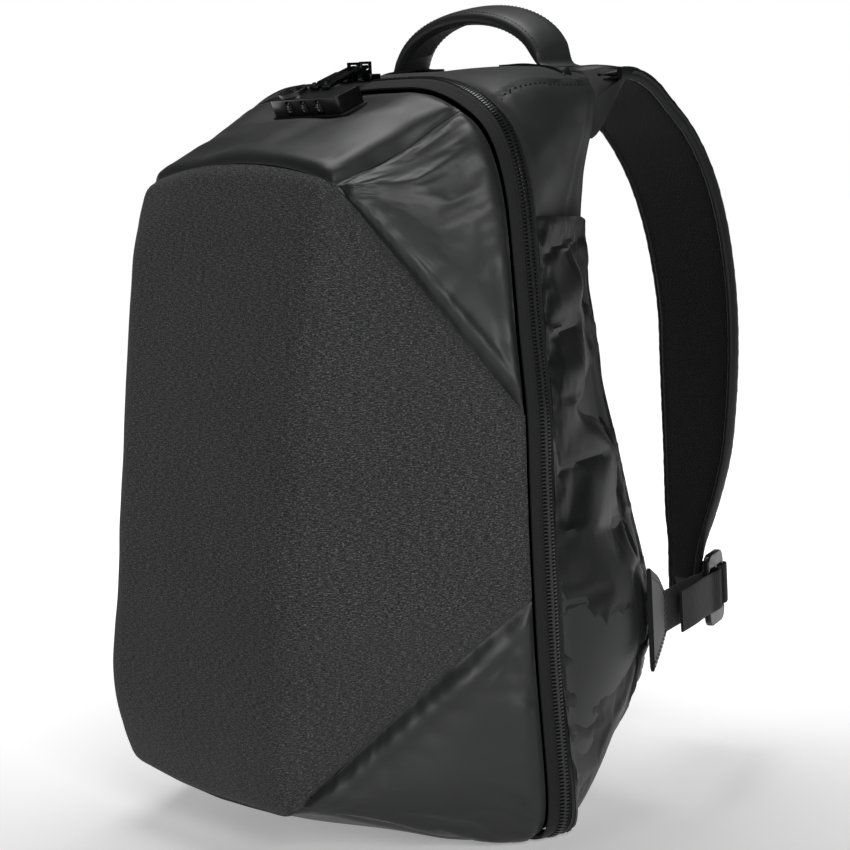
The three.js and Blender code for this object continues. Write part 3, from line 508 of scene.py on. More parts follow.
def evenly(points, ways, pitch):
    """Places at an even pitch along a line, with its direction and normal there."""
    run = run_along(points)
    at = np.arange(pitch / 2, run[-1], pitch)
    pick = lambda values: np.stack([np.interp(at, run, values[:, i]) for i in range(3)], 1)
    return pick(points), unit(pick(np.gradient(points, axis=0))), unit(pick(ways))


def sewn(name, lines, pitch=3.4, long=2.5, wide=0.55, lift=0.12, body="bag", slot="coated_cloth"):
    """Lines of stitches: each stitch is a small spindle of thread lying on the cloth."""
    points, faces = [], []
    spindle = np.array([[-0.5, 0, -0.3], [0.5, 0, -0.3], [0, 0.5, 0], [0, -0.5, 0], [0, 0, 0.5],
                        [0, 0, -0.5]])
    sides = [(0, 2, 4), (0, 4, 3), (0, 3, 5), (0, 5, 2), (1, 4, 2), (1, 3, 4), (1, 5, 3), (1, 2, 5)]
    for line, ways in lines:
        places, runs, normals = evenly(line, ways, pitch)
        for p, t, n in zip(places, runs, normals):
            b = np.cross(n, t)
            start = len(points)
            for x, y, z in spindle:
                points.append(p + n * lift + t * x * long + b * y * wide + n * z * wide)
            faces += [tuple(start + i for i in f) for f in sides]
    uv = np.stack([np.array(points)[:, 0] + np.array(points)[:, 1], np.array(points)[:, 2]], 1) * MM
    return put(name, points, faces, THREAD, slot, body=body, uv=uv, sharp=0)


def strip(name, centre, across, normal, width, thick, material, power=4.0, around=24, **more):
    """A rounded strip lofted along a path: width and thick are one number or one for each place.
    power shapes its section from an ellipse (2) to a box."""
    n = len(centre)
    width, thick = np.broadcast_to(width, n), np.broadcast_to(thick, n)
    angle = np.linspace(0, 2 * math.pi, around, endpoint=False) + math.pi / around
    u = np.sign(np.cos(angle)) * np.abs(np.cos(angle)) ** (2 / power) / 2
    w = np.sign(np.sin(angle)) * np.abs(np.sin(angle)) ** (2 / power) / 2
    points = (centre[:, None] + across[:, None] * (u[None, :] * width[:, None])[..., None]
              + normal[:, None] * (w[None, :] * thick[:, None])[..., None])
    faces = [tuple(f) for f in grid_faces(n, around, around=True)]
    flat = np.concatenate([points.reshape(-1, 3), centre[:1], centre[-1:]])
    last = (n - 1) * around
    for i in range(around):
        j = (i + 1) % around
        faces.append((n * around, j, i))
        faces.append((n * around + 1, last + i, last + j))
    run = run_along(centre)
    side = np.concatenate([[0], np.cumsum(np.hypot(np.diff(u) * width.max(), np.diff(w) * thick.max()))])
    uv = np.stack(np.broadcast_arrays(side[None, :], -run[:, None]), -1).reshape(-1, 2)
    uv = np.concatenate([uv, [[0, 0], [0, -run[-1]]]]) * MM
    return put(name, flat, faces, material, uv=uv, **more)


def curve_through(points, count):
    """A smooth line of count places through points of any number of values."""
    grid = np.asarray(points, float)[:, None, :]
    return resampled(grid, count)[:, 0]


def softened(name, node, material, bevel, body="bag", segments=2, angle=28):
    """A hard piece with its CAD node's shape and rounded edges, in millimetres of bevel."""
    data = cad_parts[node].data.copy()
    data.name = name
    mesh = bmesh.new()
    mesh.from_mesh(data)
    bmesh.ops.remove_doubles(mesh, verts=mesh.verts, dist=0.00001)
    bmesh.ops.dissolve_limit(mesh, angle_limit=math.radians(1.5), verts=mesh.verts, edges=mesh.edges)
    sharp = math.radians(angle)
    edges = [e for e in mesh.edges if len(e.link_faces) == 2 and e.calc_face_angle(0) > sharp]
    bmesh.ops.bevel(mesh, geom=edges, offset=bevel * MM, segments=segments, profile=0.6, affect="EDGES",
                    clamp_overlap=True)
    bmesh.ops.recalc_face_normals(mesh, faces=mesh.faces)
    mesh.to_mesh(data)
    mesh.free()
    data.polygons.foreach_set("use_smooth", np.ones(len(data.polygons), bool))
    data.set_sharp_from_angle(angle=math.radians(35))
    data.materials.clear()
    data.materials.append(material)
    made = bpy.data.objects.new(name, data)
    scene.collection.objects.link(made)
    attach(made, body)
    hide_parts(node)
    return made


# ---- The bag's form ----
HALF_WIDTH, ZIP_HEIGHT, FRONT_DEPTH, BACK_DEPTH = 152.5, 433.5, 145.0, 104.0
TAPE_EDGE, REAR_TAPE_EDGE, CHAIN_HALF, TAPE_DROP = 12.0, 8.0, 3.5, 4.5
# Right half from the top centre round to the base: wide and high at the zip, wide and high at the
# back, depth, and the radius between side and back.
SIDE = np.array([
    [0.0, 0.999, 0.0, 1.008, 1.0, 6], [0.262, 1.0, 0.275, 1.008, 1.0, 6],
    [0.511, 0.995, 0.511, 1.003, 0.99, 6], [0.721, 0.969, 0.645, 0.978, 0.962, 8],
    [0.859, 0.925, 0.672, 0.927, 0.923, 12], [0.928, 0.854, 0.658, 0.854, 0.875, 14],
    [0.948, 0.761, 0.666, 0.78, 0.846, 16], [0.964, 0.664, 0.705, 0.681, 0.837, 16],
    [0.984, 0.57, 0.744, 0.572, 0.846, 16], [0.98, 0.489, 0.797, 0.489, 0.865, 16],
    [0.977, 0.406, 0.849, 0.406, 0.875, 16], [0.977, 0.325, 0.902, 0.328, 0.885, 16],
    [0.98, 0.231, 0.915, 0.231, 0.885, 16], [0.993, 0.138, 0.81, 0.143, 0.846, 16],
    [1.0, 0.069, 0.68, 0.074, 0.77, 14], [0.984, 0.028, 0.6, 0.03, 0.71, 11],
    [0.931, 0.007, 0.56, 0.008, 0.695, 9], [0.839, 0.001, 0.52, 0.001, 0.695, 8]])
LAST = len(SIDE) - 1
SEAM_TOP, PANEL_TOP, PANEL_FOOT = 3, 8, 11
BACK_FOOT, FOOT_TURN = SIDE[LAST, 4] * BACK_DEPTH, SIDE[LAST, 5]


def vec(x, y, z):
    return np.array([x, y, z], float)


def mix(a, b, t):
    return a + (b - a) * t


def column(which, row):
    """A column of the side table between its rows, as a smooth curve."""
    values = SIDE[:, which]
    i = min(int(row), LAST - 1)
    p0, p1, p2, p3 = (values[min(abs(k), LAST)] for k in (i - 1, i, i + 1, i + 2))
    t = row - i
    a = (2 * p0 - 5 * p1 + 4 * p2 - p3) * t * t
    return 0.5 * (2 * p1 + (p2 - p0) * t + a + (3 * p1 - p0 - 3 * p2 + p3) * t**3)


def outline(which, row, out=0.0):
    """Place (x, z) and outward normal of the zip's outline (0) or the back's (2) at a row."""
    def at(r):
        s = abs(r)
        x = SIDE[1, which] * s if s < 1 else column(which, s)
        return np.array([math.copysign(x * HALF_WIDTH, r), column(which + 1, s) * ZIP_HEIGHT])
    step = 0.05
    run = at(min(row + step, LAST)) - at(max(row - step, -LAST))
    n = np.array([-run[1], run[0]]) / np.hypot(*run)
    return at(row) + n * out, n


def tape_drop(row):
    """How far, in mm, the front tape's edge lies inside the zip's outline: only in the upper part."""
    return TAPE_DROP * min(1, max(0, (6 - abs(row)) / 3)) ** 1.5


def on_tape(row):
    (x, z), _ = outline(0, row, -tape_drop(row))
    return vec(x, -TAPE_EDGE, z)


def inward(p):
    """Way into the bag from places on its front shell."""
    turn = np.maximum(0, (p[..., 1] - (BACK_FOOT - FOOT_TURN)) / FOOT_TURN)
    back = np.where(p[..., 1] > -TAPE_EDGE, -1.5 * turn,
                    1.6 * (-TAPE_EDGE - p[..., 1]) / (FRONT_DEPTH - TAPE_EDGE))
    up = np.where(turn > 0, 1 - 0.95 * turn, 1 - p[..., 2] / (ZIP_HEIGHT / 2))
    return unit(np.stack([-p[..., 0] / HALF_WIDTH, back, up], -1))


# Soft fold line from the grey panel's upper corner to its lower one: shares across, deep and high.
CREASE = np.array([
    [0.525, 0.655, 0.885], [0.551, 0.683, 0.863], [0.57, 0.714, 0.835], [0.577, 0.755, 0.789],
    [0.577, 0.786, 0.727], [0.574, 0.821, 0.646], [0.57, 0.852, 0.57], [0.567, 0.866, 0.528],
    [0.564, 0.883, 0.487], [0.561, 0.9, 0.448], [0.557, 0.917, 0.406], [0.551, 0.931, 0.364],
    [0.548, 0.945, 0.325], [0.541, 0.969, 0.272], [0.531, 0.99, 0.219], [0.518, 1.0, 0.173],
    [0.505, 0.99, 0.134], [0.485, 0.969, 0.106], [0.459, 0.948, 0.087]])
CREASE_LAST = len(CREASE) - 1
ARCH_OF_TOP, DOME = 8.5, 5.0
# How far, in mm, the cloth swells between its seams, sinks in along the upper seam and is pressed
# in by the lock.
WING_SWELL, FACET_SWELL, TOP_SWELL, SEAM_DIP, LOCK_DENT = 3.5, 5, 3, 5, 6


def share(x, y, z):
    """A place on the right half from shares of the bag's half width, front depth and height."""
    return vec(x * HALF_WIDTH, -y * FRONT_DEPTH, z * ZIP_HEIGHT)


# Corners of the grey panel, from its crease out to the zip, at its upper and its lower end.
UPPER_IN, LOWER_IN = share(*CREASE[0]), share(*CREASE[-1])
UPPER_MID, UPPER_OUT = share(0.593, 0.638, 0.8745), share(0.635, 0.597, 0.853)
LOWER_MID, LOWER_OUT = share(0.502, 0.943, 0.0905), share(0.531, 0.907, 0.103)
TAPE_TOP, TAPE_FOOT, SEAM_HEAD, BASE_END = (on_tape(r) for r in (PANEL_TOP, PANEL_FOOT, SEAM_TOP, LAST))


def front_row(i):
    x, y, z = share(*CREASE[i])
    arch = (1 - i / 3) * ARCH_OF_TOP if i < 3 else 0
    forward = DOME * math.sin(math.pi * i / CREASE_LAST)
    row = []
    for u in np.linspace(-1, 1, 9):
        lift = 1 - u * u
        row.append(vec(u * x, y - forward * lift - (2 * lift if i < 3 else 0), z + arch * lift))
    return row


def panel_edge(i):
    high = CREASE[:, 2]
    if i <= 6:
        return mix(UPPER_OUT, TAPE_TOP, (high[0] - high[i]) / (high[0] - high[6]))
    if i <= 12:
        return on_tape(mix(PANEL_TOP, PANEL_FOOT, (i - 6) / 6))
    return mix(TAPE_FOOT, LOWER_OUT, (high[12] - high[i]) / (high[12] - high[18]))


def corner(a, m, b):
    """Five places on a blunt corner from a past m to b."""
    return [a, mix(mix(a, m, 0.55), m, 0.35), m, mix(mix(b, m, 0.55), m, 0.35), b]


def panel_grid():
    rows = []
    for i in range(CREASE_LAST + 1):
        if i == 0:
            wing = corner(UPPER_IN, UPPER_MID, UPPER_OUT)
        elif i == CREASE_LAST:
            wing = corner(LOWER_IN, LOWER_MID, LOWER_OUT)
        else:
            wing = []
            for t in np.linspace(0, 1, 5):
                p = mix(share(*CREASE[i]), panel_edge(i), t)
                wing.append(p - inward(p) * WING_SWELL * 4 * t * (1 - t)
                            * math.sin(math.pi * i / CREASE_LAST))
        left = [mirrored(p) for p in wing[:0:-1]]
        rows.append(left + front_row(i) + wing[1:])
    return np.array(rows)


def along_corner(points, t):
    s = t * (len(points) - 1)
    i = min(int(s), len(points) - 2)
    return mix(points[i], points[i + 1], s - i)


def upper_seam(w):
    p = mix(UPPER_MID, SEAM_HEAD, w)
    return p + inward(p) * SEAM_DIP * math.sin(math.pi * w) ** 2


def puff(u, w):
    """Share of a swell at a place between four seams: 1 in the middle."""
    return 16 * u * (1 - u) * w * (1 - w)


def upper_facet_grid():
    apex = corner(UPPER_MID, mix(UPPER_MID, UPPER_OUT, 0.5), UPPER_OUT)
    rows = []
    for w in (0, 0.17, 0.36, 0.55, 0.75, 1):
        row = []
        for u in np.linspace(0, 1, 11):
            p = mix(along_corner(apex, u), on_tape(mix(SEAM_TOP, PANEL_TOP, u)), w)
            p = p + (upper_seam(w) - mix(UPPER_MID, SEAM_HEAD, w)) * (1 - u) ** 3
            row.append(p - inward(p) * FACET_SWELL * puff(u, w))
        rows.append(row)
    return np.array(rows)


LOCK_Y, LOCK_HALF = -34.5, 48.0


def top_facet_grid():
    front = [UPPER_MID] + front_row(0)[::-1] + [mirrored(UPPER_MID)]
    rows = []
    for w in (0, 0.18, 0.38, 0.55, 0.66, 0.78, 0.9, 1):
        row = []
        for k, start in enumerate(front):
            r = mix(SEAM_TOP, -SEAM_TOP, k / (len(front) - 1))
            fold = upper_seam(w) - mix(UPPER_MID, SEAM_HEAD, w)
            p = mix(start, on_tape(r), w)
            p = p + fold * max(0, r / SEAM_TOP) ** 3 + mirrored(fold) * max(0, -r / SEAM_TOP) ** 3
            pressed = 0
            if w < 1:
                pressed = math.exp(-((p[0] / LOCK_HALF) ** 6) - ((p[1] - LOCK_Y - 6) / 18) ** 4)
            swell = TOP_SWELL * puff(k / (len(front) - 1), w) * (1 - pressed)
            row.append(p + vec(0, 0, swell - LOCK_DENT * pressed))
        rows.append(row)
    return np.array(rows)


# Seams on both sides of the base: depth in front of the zip and height as shares, and how many
# millimetres the cloth sags between them.
BASE_LINE = [(0.943, 0.0905, 0), (0.88, 0.0905, 4), (0.77, 0.0845, 9), (0.64, 0.0644, 10),
             (0.49, 0.041, 8), (0.33, 0.0166, 4), (TAPE_EDGE / FRONT_DEPTH, 0.0, 0)]


def base_share(k):
    return (BASE_LINE[0][0] - BASE_LINE[k][0]) / (BASE_LINE[0][0] - BASE_LINE[6][0])


def lower_seam(k):
    deep, high, _ = BASE_LINE[k]
    return vec(mix(LOWER_MID[0], BASE_END[0], base_share(k)), -deep * FRONT_DEPTH, high * ZIP_HEIGHT)


def lower_facet_grid():
    apex = corner(LOWER_MID, mix(LOWER_MID, LOWER_OUT, 0.5), LOWER_OUT)
    rows = []
    for k in range(7):
        w = base_share(k)
        row = []
        for u in np.linspace(0, 1, 13):
            tape = on_tape(mix(LAST, PANEL_FOOT, u))
            p = mix(along_corner(apex, u), tape, w)
            p = p + (lower_seam(k) - mix(LOWER_MID, BASE_END, w)) * (1 - u) ** 2
            if k == 6:
                p[2] = tape[2]
            row.append(p - inward(p) * FACET_SWELL * puff(u, w) * u)
        rows.append(row)
    return np.array(rows)


def base_grid():
    rows = []
    for k in range(7):
        end = lower_seam(k)
        xs = np.linspace(-end[0], end[0], 11)
        row = [vec(x, end[1], end[2] - BASE_LINE[k][2] * (1 - (x / end[0]) ** 2)) for x in xs]
        if k == 0:
            row = [mirrored(LOWER_MID)] + front_row(CREASE_LAST) + [LOWER_MID]
        rows.append(row)
    foot = BACK_FOOT - FOOT_TURN
    for y in (REAR_TAPE_EDGE, foot - 22, foot):
        t = (y - REAR_TAPE_EDGE) / (foot - REAR_TAPE_EDGE)
        wide = mix(BASE_END[0], SIDE[LAST, 2] * HALF_WIDTH, t)
        rows.append([vec(x, y, 0) for x in np.linspace(-wide, wide, 11)])
    for turn in (0.35, 0.7, 1):
        end = rear_point(LAST, 1 + turn)
        rows.append([vec(x, end[1], end[2]) for x in np.linspace(-end[0], end[0], 11)])
    return np.array(rows)


def rear_point(row, w):
    """Place on the rear body: w runs from the zip tape (0) to the turn (1) and round it (2)."""
    s = abs(row)
    back, bn = outline(2, row)
    turn, deep = column(5, s), column(4, s) * BACK_DEPTH
    if w <= 1:
        zip_at, zn = outline(0, row)
        bulge = min(5, 3 + s / 3, (LAST - s) * 1.5) * 4 * w * (1 - w)
        x, z = mix(zip_at - zn, back, w) + bn * bulge
        return vec(x, mix(REAR_TAPE_EDGE, deep - turn, w), z)
    a = (w - 1) * math.pi / 2
    x, z = back - bn * turn * (1 - math.cos(a))
    return vec(x, deep - turn + turn * math.sin(a), z)


def rear_grid(rows, ws):
    return np.array([[rear_point(r, w) for w in ws] for r in rows])


def even_rows(first, last, count, which=0):
    """Rows at even distances along an outline."""
    rows = np.linspace(first, last, 600)
    places = np.array([outline(which, r)[0] for r in rows])
    run = run_along(places)
    return np.interp(np.linspace(0, run[-1], count), run, rows)


# ---- Front shell ----
GAP = 0.3  # each panel stops this far short of its seam
PANEL_THICK, BODY_THICK, POCKET_THICK, COVER_THICK, TAPE_THICK = 1.6, 1.4, 1.1, 1.4, 1.2


def drawn_in(grid, by=GAP):
    """A fine grid with its edge points moved in from the seam."""
    moved = grid.copy()
    for edge, beside in (((0,), (1,)), ((-1,), (-2,))):
        moved[edge] += unit(grid[beside] - grid[edge]) * by
        moved[:, edge[0]] += unit(grid[:, beside[0]] - grid[:, edge[0]]) * by
    return moved


def rolled(grid, depth=2.6, width=4.5, swell=1.0, seams=(1, 1, 1, 1)):
    """Pulls a panel's edges down into its seams and swells it beside them."""
    total = np.zeros(grid.shape[:2])
    for distance, share_of in zip(edge_distances(grid), seams):
        total = np.maximum(total, share_of * near(distance, width))
    beside = np.zeros(grid.shape[:2])
    for distance, share_of in zip(edge_distances(grid), seams):
        beside = np.maximum(beside, share_of * near(distance - 2.6 * width, 1.5 * width))
    change = depth * total - swell * beside * (1 - total)
    return grid + inward(grid) * change[..., None]


def shell_panel(name, grid, material, slot, node):
    normals = outward(grid, -inward(grid))
    return sheet_of(name, drawn_in(grid), normals, PANEL_THICK, material, slot=slot, nodes=[node])


def slumped(grid):
    """The filled bag leans out towards its left foot and hangs down in front; the zip stays put."""
    grid = np.array(grid, float)
    x, y, z = grid[..., 0], grid[..., 1], grid[..., 2]
    ahead = np.clip((-TAPE_EDGE - y) / 100, 0, 1)
    out = np.interp(z, [0, 38, 60, 90, 140, 210, 300, 380, 430], [1, 2, 6, 11, 9, 6.5, 4.5, 4, 3])
    out = out * ahead * np.clip(-x / 78, 0, 1)
    down = np.interp(x, [-78, -40, 0, 40, 78], [4, 9, 11, 10, 8])
    down = down * np.interp(z, [0, 38, 60, 130], [1, 1, 0.7, 0]) * ahead
    moved = grid - np.stack([0.72 * out, 0.5 * out, down], -1)
    moved[..., 2] = np.maximum(moved[..., 2], np.minimum(z, 0.4))
    return moved


front = slumped(panel_grid())
edge_share = np.zeros(front.shape[1])
edge_share[[0, -1]] = 1
edge_share[[1, -2]] = 0.35
front = refined(front, 150, 150, [(6, edge_share), (12, edge_share)])
inside = np.clip(np.minimum.reduce(edge_distances(front)) / 30, 0, 1)[..., None] ** 2
for _ in range(45):  # the padding makes its folds soft
    eased = front.copy()
    eased[:, 1:-1] = (front[:, :-2] + 2 * front[:, 1:-1] + front[:, 2:]) / 4
    front = mix(front, eased, inside)
front_normals = outward(front, -inward(front))
uneven = 0.5 * ripple(front, 120, 3, (1, 1, 1.6)) + 0.12 * ripple(front, 34, 4)
front += front_normals * uneven[..., None]
front = rolled(front, 2.4, 3.6, 0.5)
front_piece = shell_panel("front_panel_cloth", front, HEATHER, "grey_heather_cloth", "front_panel")

upper = refined(upper_facet_grid(), 56, 110)
upper_normals = outward(upper, -inward(upper))
upper = settled(upper, upper_normals, 1.2, 0.004, 2.5)
upper = folded(upper, upper_normals, [
    ((0.18, 0.05), (0.72, 0.2), 9, -1.2), ((0.3, 0.3), (0.9, 0.55), 16, 1.1),
    ((0.55, 0.72), (0.95, 0.8), 10, -0.8)])
upper += upper_normals * (0.35 * ripple(upper, 46, 11, (1, 1, 1.5)))[..., None]
upper = rolled(upper, 3.2, 4.2, 1.2)
lower = refined(lower_facet_grid(), 70, 110)
lower_normals = outward(lower, -inward(lower))
lower = settled(lower, lower_normals, 1.2, 0.004, 2.5)
lower = folded(lower, lower_normals, [
    ((0.15, 0.93), (0.85, 0.9), 8, 1.0), ((0.3, 0.5), (0.9, 0.35), 18, 0.9),
    ((0.5, 0.15), (0.95, 0.2), 10, -0.7)])
above_floor = 1 - near(lower[..., 2], 14)
lower += lower_normals * (0.35 * ripple(lower, 50, 21, (1, 1, 1.5)) * above_floor)[..., None]
lower = rolled(lower, 3.0, 4.2, 1.2)
lower[..., 2] = np.maximum(lower[..., 2], 0.3)
for side_name, flip in (("right", lambda g: g), ("left", mirrored)):
    upper_piece = shell_panel("upper_facet_cloth_" + side_name, slumped(flip(upper)), COATED,
                              "coated_cloth", "upper_facet_" + side_name)
    lower_piece = shell_panel("lower_facet_cloth_" + side_name, slumped(flip(lower)), COATED,
                              "coated_cloth", "lower_facet_" + side_name)

top = refined(slumped(top_facet_grid()), 60, 130)
top_normals = outward(top, -inward(top))
under_lock = np.exp(-((top[..., 0] / LOCK_HALF) ** 6) - ((top[..., 1] - LOCK_Y - 6) / 22) ** 4)
top = folded(top, top_normals, [
    ((0.42, 0.62), (0.3, 0.9), 7, 1.3), ((0.6, 0.3), (0.15, 0.42), 12, -1.2),
    ((0.25, 0.55), (0.12, 0.85), 12, -1.6), ((0.75, 0.1), (0.5, 0.28), 8, 1.0)])
uneven = 0.6 * ripple(top, 70, 31) + 0.2 * ripple(top, 28, 32)
top += top_normals * (uneven * (1 - under_lock))[..., None]
top = rolled(top, 3.2, 4.2, 1.0)
top_piece = shell_panel("top_facet_cloth", top, COATED, "coated_cloth", "top_facet")

base = refined(slumped(base_grid()), 120, 90)
base = rolled(base, 2.4, 4.0, 0.0)
base[..., 2] = np.maximum(base[..., 2], 0.15)
shell_panel("base_panel_cloth", base, COATED, "coated_cloth", "base_panel")


# ---- Zip ----
def ring_of(y_values, out_values, drop_values, rows):
    """A band round the bag: for each of its lines its place in depth, its distance outside the zip's
    outline and its share of the tape's drop."""
    grid = []
    for row in rows:
        line = []
        for y, out, drop in zip(y_values, out_values, drop_values):
            (x, z), _ = outline(0, row, out - drop * tape_drop(row))
            line.append(vec(x, y, max(z, 0.2)))
        grid.append(line)
    return np.array(grid)


def from_middle(grid):
    """Ways from the middle of the zip's ring out to places on it."""
    return grid * np.array([1.0, 0, 1.0]) - vec(0, 0, ZIP_HEIGHT / 2)


ring_rows = even_rows(-LAST + 0.02, LAST - 0.02, 420)
front_ys = np.linspace(-TAPE_EDGE + 0.3, 0.1 - CHAIN_HALF, 8)
tape = ring_of(front_ys, 0.4 * np.sin(np.linspace(0, math.pi, 8)), np.linspace(1, 0, 8), ring_rows)
tape_normals = outward(tape, from_middle(tape))
sheet_of("zip_tape_front_weave", tape, tape_normals, TAPE_THICK, ZIP_TAPE, slot="zip_tape",
         nodes=["zip_tape_front"])
rear_ys = np.linspace(CHAIN_HALF - 0.1, REAR_TAPE_EDGE - 0.2, 8)
tape_back = ring_of(rear_ys, 0.4 * np.sin(np.linspace(0, math.pi, 8)), np.zeros(8), ring_rows)
sheet_of("zip_tape_rear_weave", tape_back, outward(tape_back, from_middle(tape_back)), TAPE_THICK,
         ZIP_TAPE, slot="zip_tape", nodes=["zip_tape_rear"])
sewn("zip_tape_stitches", [edge_line(tape, tape_normals, 2, 5.9, (0.0, 1.0))], 2.0, 1.5, 0.4,
     slot="zip_tape")
core = ring_of(np.linspace(-3.3, 3.3, 5), [-0.9, -0.6, -0.5, -0.6, -0.9], np.zeros(5), ring_rows)
sheet_of("zip_core", core, outward(core, from_middle(core)), 1.0, LINING, slot="zip_tape",
         nodes=["zip_chain"])


def coil_teeth():
    """Two rows of teeth that mesh along the chain, each a loop of nylon with a rounded head."""
    rows = np.linspace(-LAST + 0.02, LAST - 0.02, 2400)
    places = np.array([outline(0, r)[0] for r in rows])
    ways = np.array([outline(0, r)[1] for r in rows])
    run = run_along(places)
    pitch = 2.1
    # Section along the tooth: distance from the chain's middle, half length along the chain, top.
    section = [(-1.0, 0.55, 0.8), (0.1, 0.8, 1.35), (2.0, 0.7, 1.2), (3.75, 0.55, 0.5)]
    points, faces, uv = [], [], []
    for side, shift in ((1, 0.0), (-1, pitch / 2)):
        for at in np.arange(pitch + shift, run[-1] - pitch, pitch):
            x, z = (np.interp(at, run, places[:, i]) for i in (0, 1))
            nx, nz = (np.interp(at, run, ways[:, i]) for i in (0, 1))
            start = len(points)
            for y, half, high in section:
                for t, up in ((-half, -0.6), (-half * 0.75, high), (half * 0.75, high), (half, -0.6)):
                    points.append((x + nx * up + nz * t, side * y, max(z + nz * up - nx * t, 0.1)))
                    uv.append((side * y * MM, at * MM))
            for k in range(len(section) - 1):
                a = start + 4 * k
                faces += [(a + i, a + (i + 1) % 4, a + 4 + (i + 1) % 4, a + 4 + i) for i in range(4)]
            last = start + 4 * (len(section) - 1)
            faces += [tuple(range(start, start + 4)), tuple(range(last, last + 4))[::-1]]
    return put("zip_coil_teeth", points, faces, COIL, "zip_coil", uv=uv, sharp=50)


coil_teeth()


# ---- Rear body ----
def from_centre(grid):
    """Ways from the middle of the bag out to places on it."""
    return grid - vec(0, 30, 200)


rear_rows = even_rows(-LAST, LAST, 400)
rear_ws = np.concatenate([np.linspace(-0.055, 1, 42), np.linspace(1, 2, 13)[1:]])
rear = rear_grid(rear_rows, rear_ws)
rear_normals = outward(rear, from_centre(rear))
along, over = np.abs(rear_rows)[:, None], rear_ws[None, :]
shown = np.clip((along - 0.3) / 3, 0, 1) * np.clip((LAST - along) / 3, 0, 1)
wave = 0.5 * ripple(rear, 46, 41, (1, 1.6, 1)) + 0.2 * ripple(rear, 20, 42)
edges = np.clip(np.minimum.reduce(edge_distances(rear)) / 12, 0, 1)
covered = np.clip((along - 5.2) / 0.8, 0, 1)
# The cloth stands over the tape's edge, sinks in above the pocket and is caught in the yoke's seam.
hem = 1.9 * near(edge_distances(rear)[2], 6.0)
mouth = -5.0 * near(along - 5.45, 0.5) * np.sin(math.pi * np.clip(over * 0.62 + 0.02, 0, 1))
# Row and w of places along the yoke's seam.
YOKE = [(3.05, 0.04), (2.95, 0.1), (2.8, 0.25), (2.8, 0.4), (2.9, 0.75), (2.9, 0.88), (2.65, 1.2),
        (2.5, 1.5)]
yoke_row = np.interp(rear_ws, [w for _, w in YOKE], [r for r, _ in YOKE])[None, :]
seam = -1.1 * near(along - yoke_row, 0.035) + 0.7 * near(along - yoke_row + 0.12, 0.08)
folds = (1.2 * near(along - 3.9, 0.7) * near(over - 0.12, 0.12)
         + 1.6 * near(along - 4.5 + 1.1 * over, 0.35) * near(over - 0.25, 0.35)
         - 2.0 * near(along - 4.6, 0.35) * near(over - 1.05, 0.3))
rear += rear_normals * ((wave + folds) * shown * edges * (1 - covered) + (mouth + seam) * edges + hem
                        - 0.5 * covered)[..., None]
rear[..., 2] = np.maximum(rear[..., 2], 0.4)
rear_normals = outward(rear, from_centre(rear))
rear_piece = sheet_of("rear_body_cloth", rear, rear_normals, BODY_THICK, COATED, slot="coated_cloth",
                      nodes=["rear_gusset"])
yoke_lines = []
for sign in (-1, 1):
    line = []
    for r, w in curve_through(YOKE, 40):
        i = int(np.abs(rear_rows - sign * (r + 0.06)).argmin())
        j = int(np.abs(rear_ws - w).argmin())
        line.append((rear[i, j], rear_normals[i, j]))
    yoke_lines.append((np.array([p for p, _ in line]), np.array([n for _, n in line])))
sewn("yoke_stitches", yoke_lines, 4.0, 3.1, 1.1, 0.45)

POCKET_MOUTH, MOUTH_FADES = 5.5, 3.0


def pocket_row(row, w):
    """The rows at the pocket's mouth dip to the back; those at its foot are the body's."""
    return row + (0.24 * max(w, 0) - 0.08) * max(0, 1 - (row - POCKET_MOUTH) / MOUTH_FADES)


pocket_rows = even_rows(POCKET_MOUTH, LAST - 1.1, 120)
pocket_ws = np.concatenate([np.linspace(-0.05, 1, 46), np.linspace(1, 1.7, 12)[1:]])
pocket = np.array([[rear_point(pocket_row(r, w), w) for w in pocket_ws] for r in pocket_rows])
pocket_normals = outward(pocket, from_centre(pocket))
top_share = np.clip(1 - (pocket_rows - POCKET_MOUTH) / 3.5, 0, 1)[:, None]
across_share = np.sin(math.pi * np.linspace(0.0, 1, len(pocket_ws)))[None, :] ** 0.5
pocket += pocket_normals * (1.9 + 1.4 * top_share * across_share)[..., None]
pocket = settled(pocket, pocket_normals, 2.2, 0.03, 5.0, 18, 0.3)
along, over = pocket_rows[:, None], pocket_ws[None, :]
# Broad folds, each from a row beside the zip to a row at the back: place, slope, width and height.
for first, last, wide, high in ((5.75, 5.35, 0.3, 0.9), (6.45, 5.95, 0.28, -2.2), (6.8, 6.35, 0.3, 2.0),
                                (7.25, 6.75, 0.26, -2.8), (7.6, 7.5, 0.2, 3.0), (7.95, 7.75, 0.2, 1.2),
                                (8.5, 7.95, 0.3, -3.0), (9.3, 8.9, 0.6, 1.2), (10.6, 9.8, 0.7, -1.4),
                                (12.9, 12.35, 0.25, 1.8), (13.6, 13.2, 0.4, -1.2)):
    middle = first + (last - first) * np.clip(over, 0, 1.5)
    pocket += pocket_normals * (high * near(along - middle, wide) * np.clip(0.25 + over * 1.2, 0, 1)
                                * np.clip((1.9 - over) / 0.9, 0, 1))[..., None]
pocket += pocket_normals * (0.35 * ripple(pocket, 42, 51, (1, 1, 2.2)))[..., None]
pocket_normals = outward(pocket, from_centre(pocket))
# The pockets take the darker copy of the coated cloth, which is painted shade.
for side_name, flip in (("right", lambda g: g), ("left", mirrored)):
    made = sheet_of("side_pocket_cloth_" + side_name, flip(pocket), flip(pocket_normals), POCKET_THICK,
                    COATED_SHADED, slot="coated_cloth", nodes=["side_pocket_" + side_name])


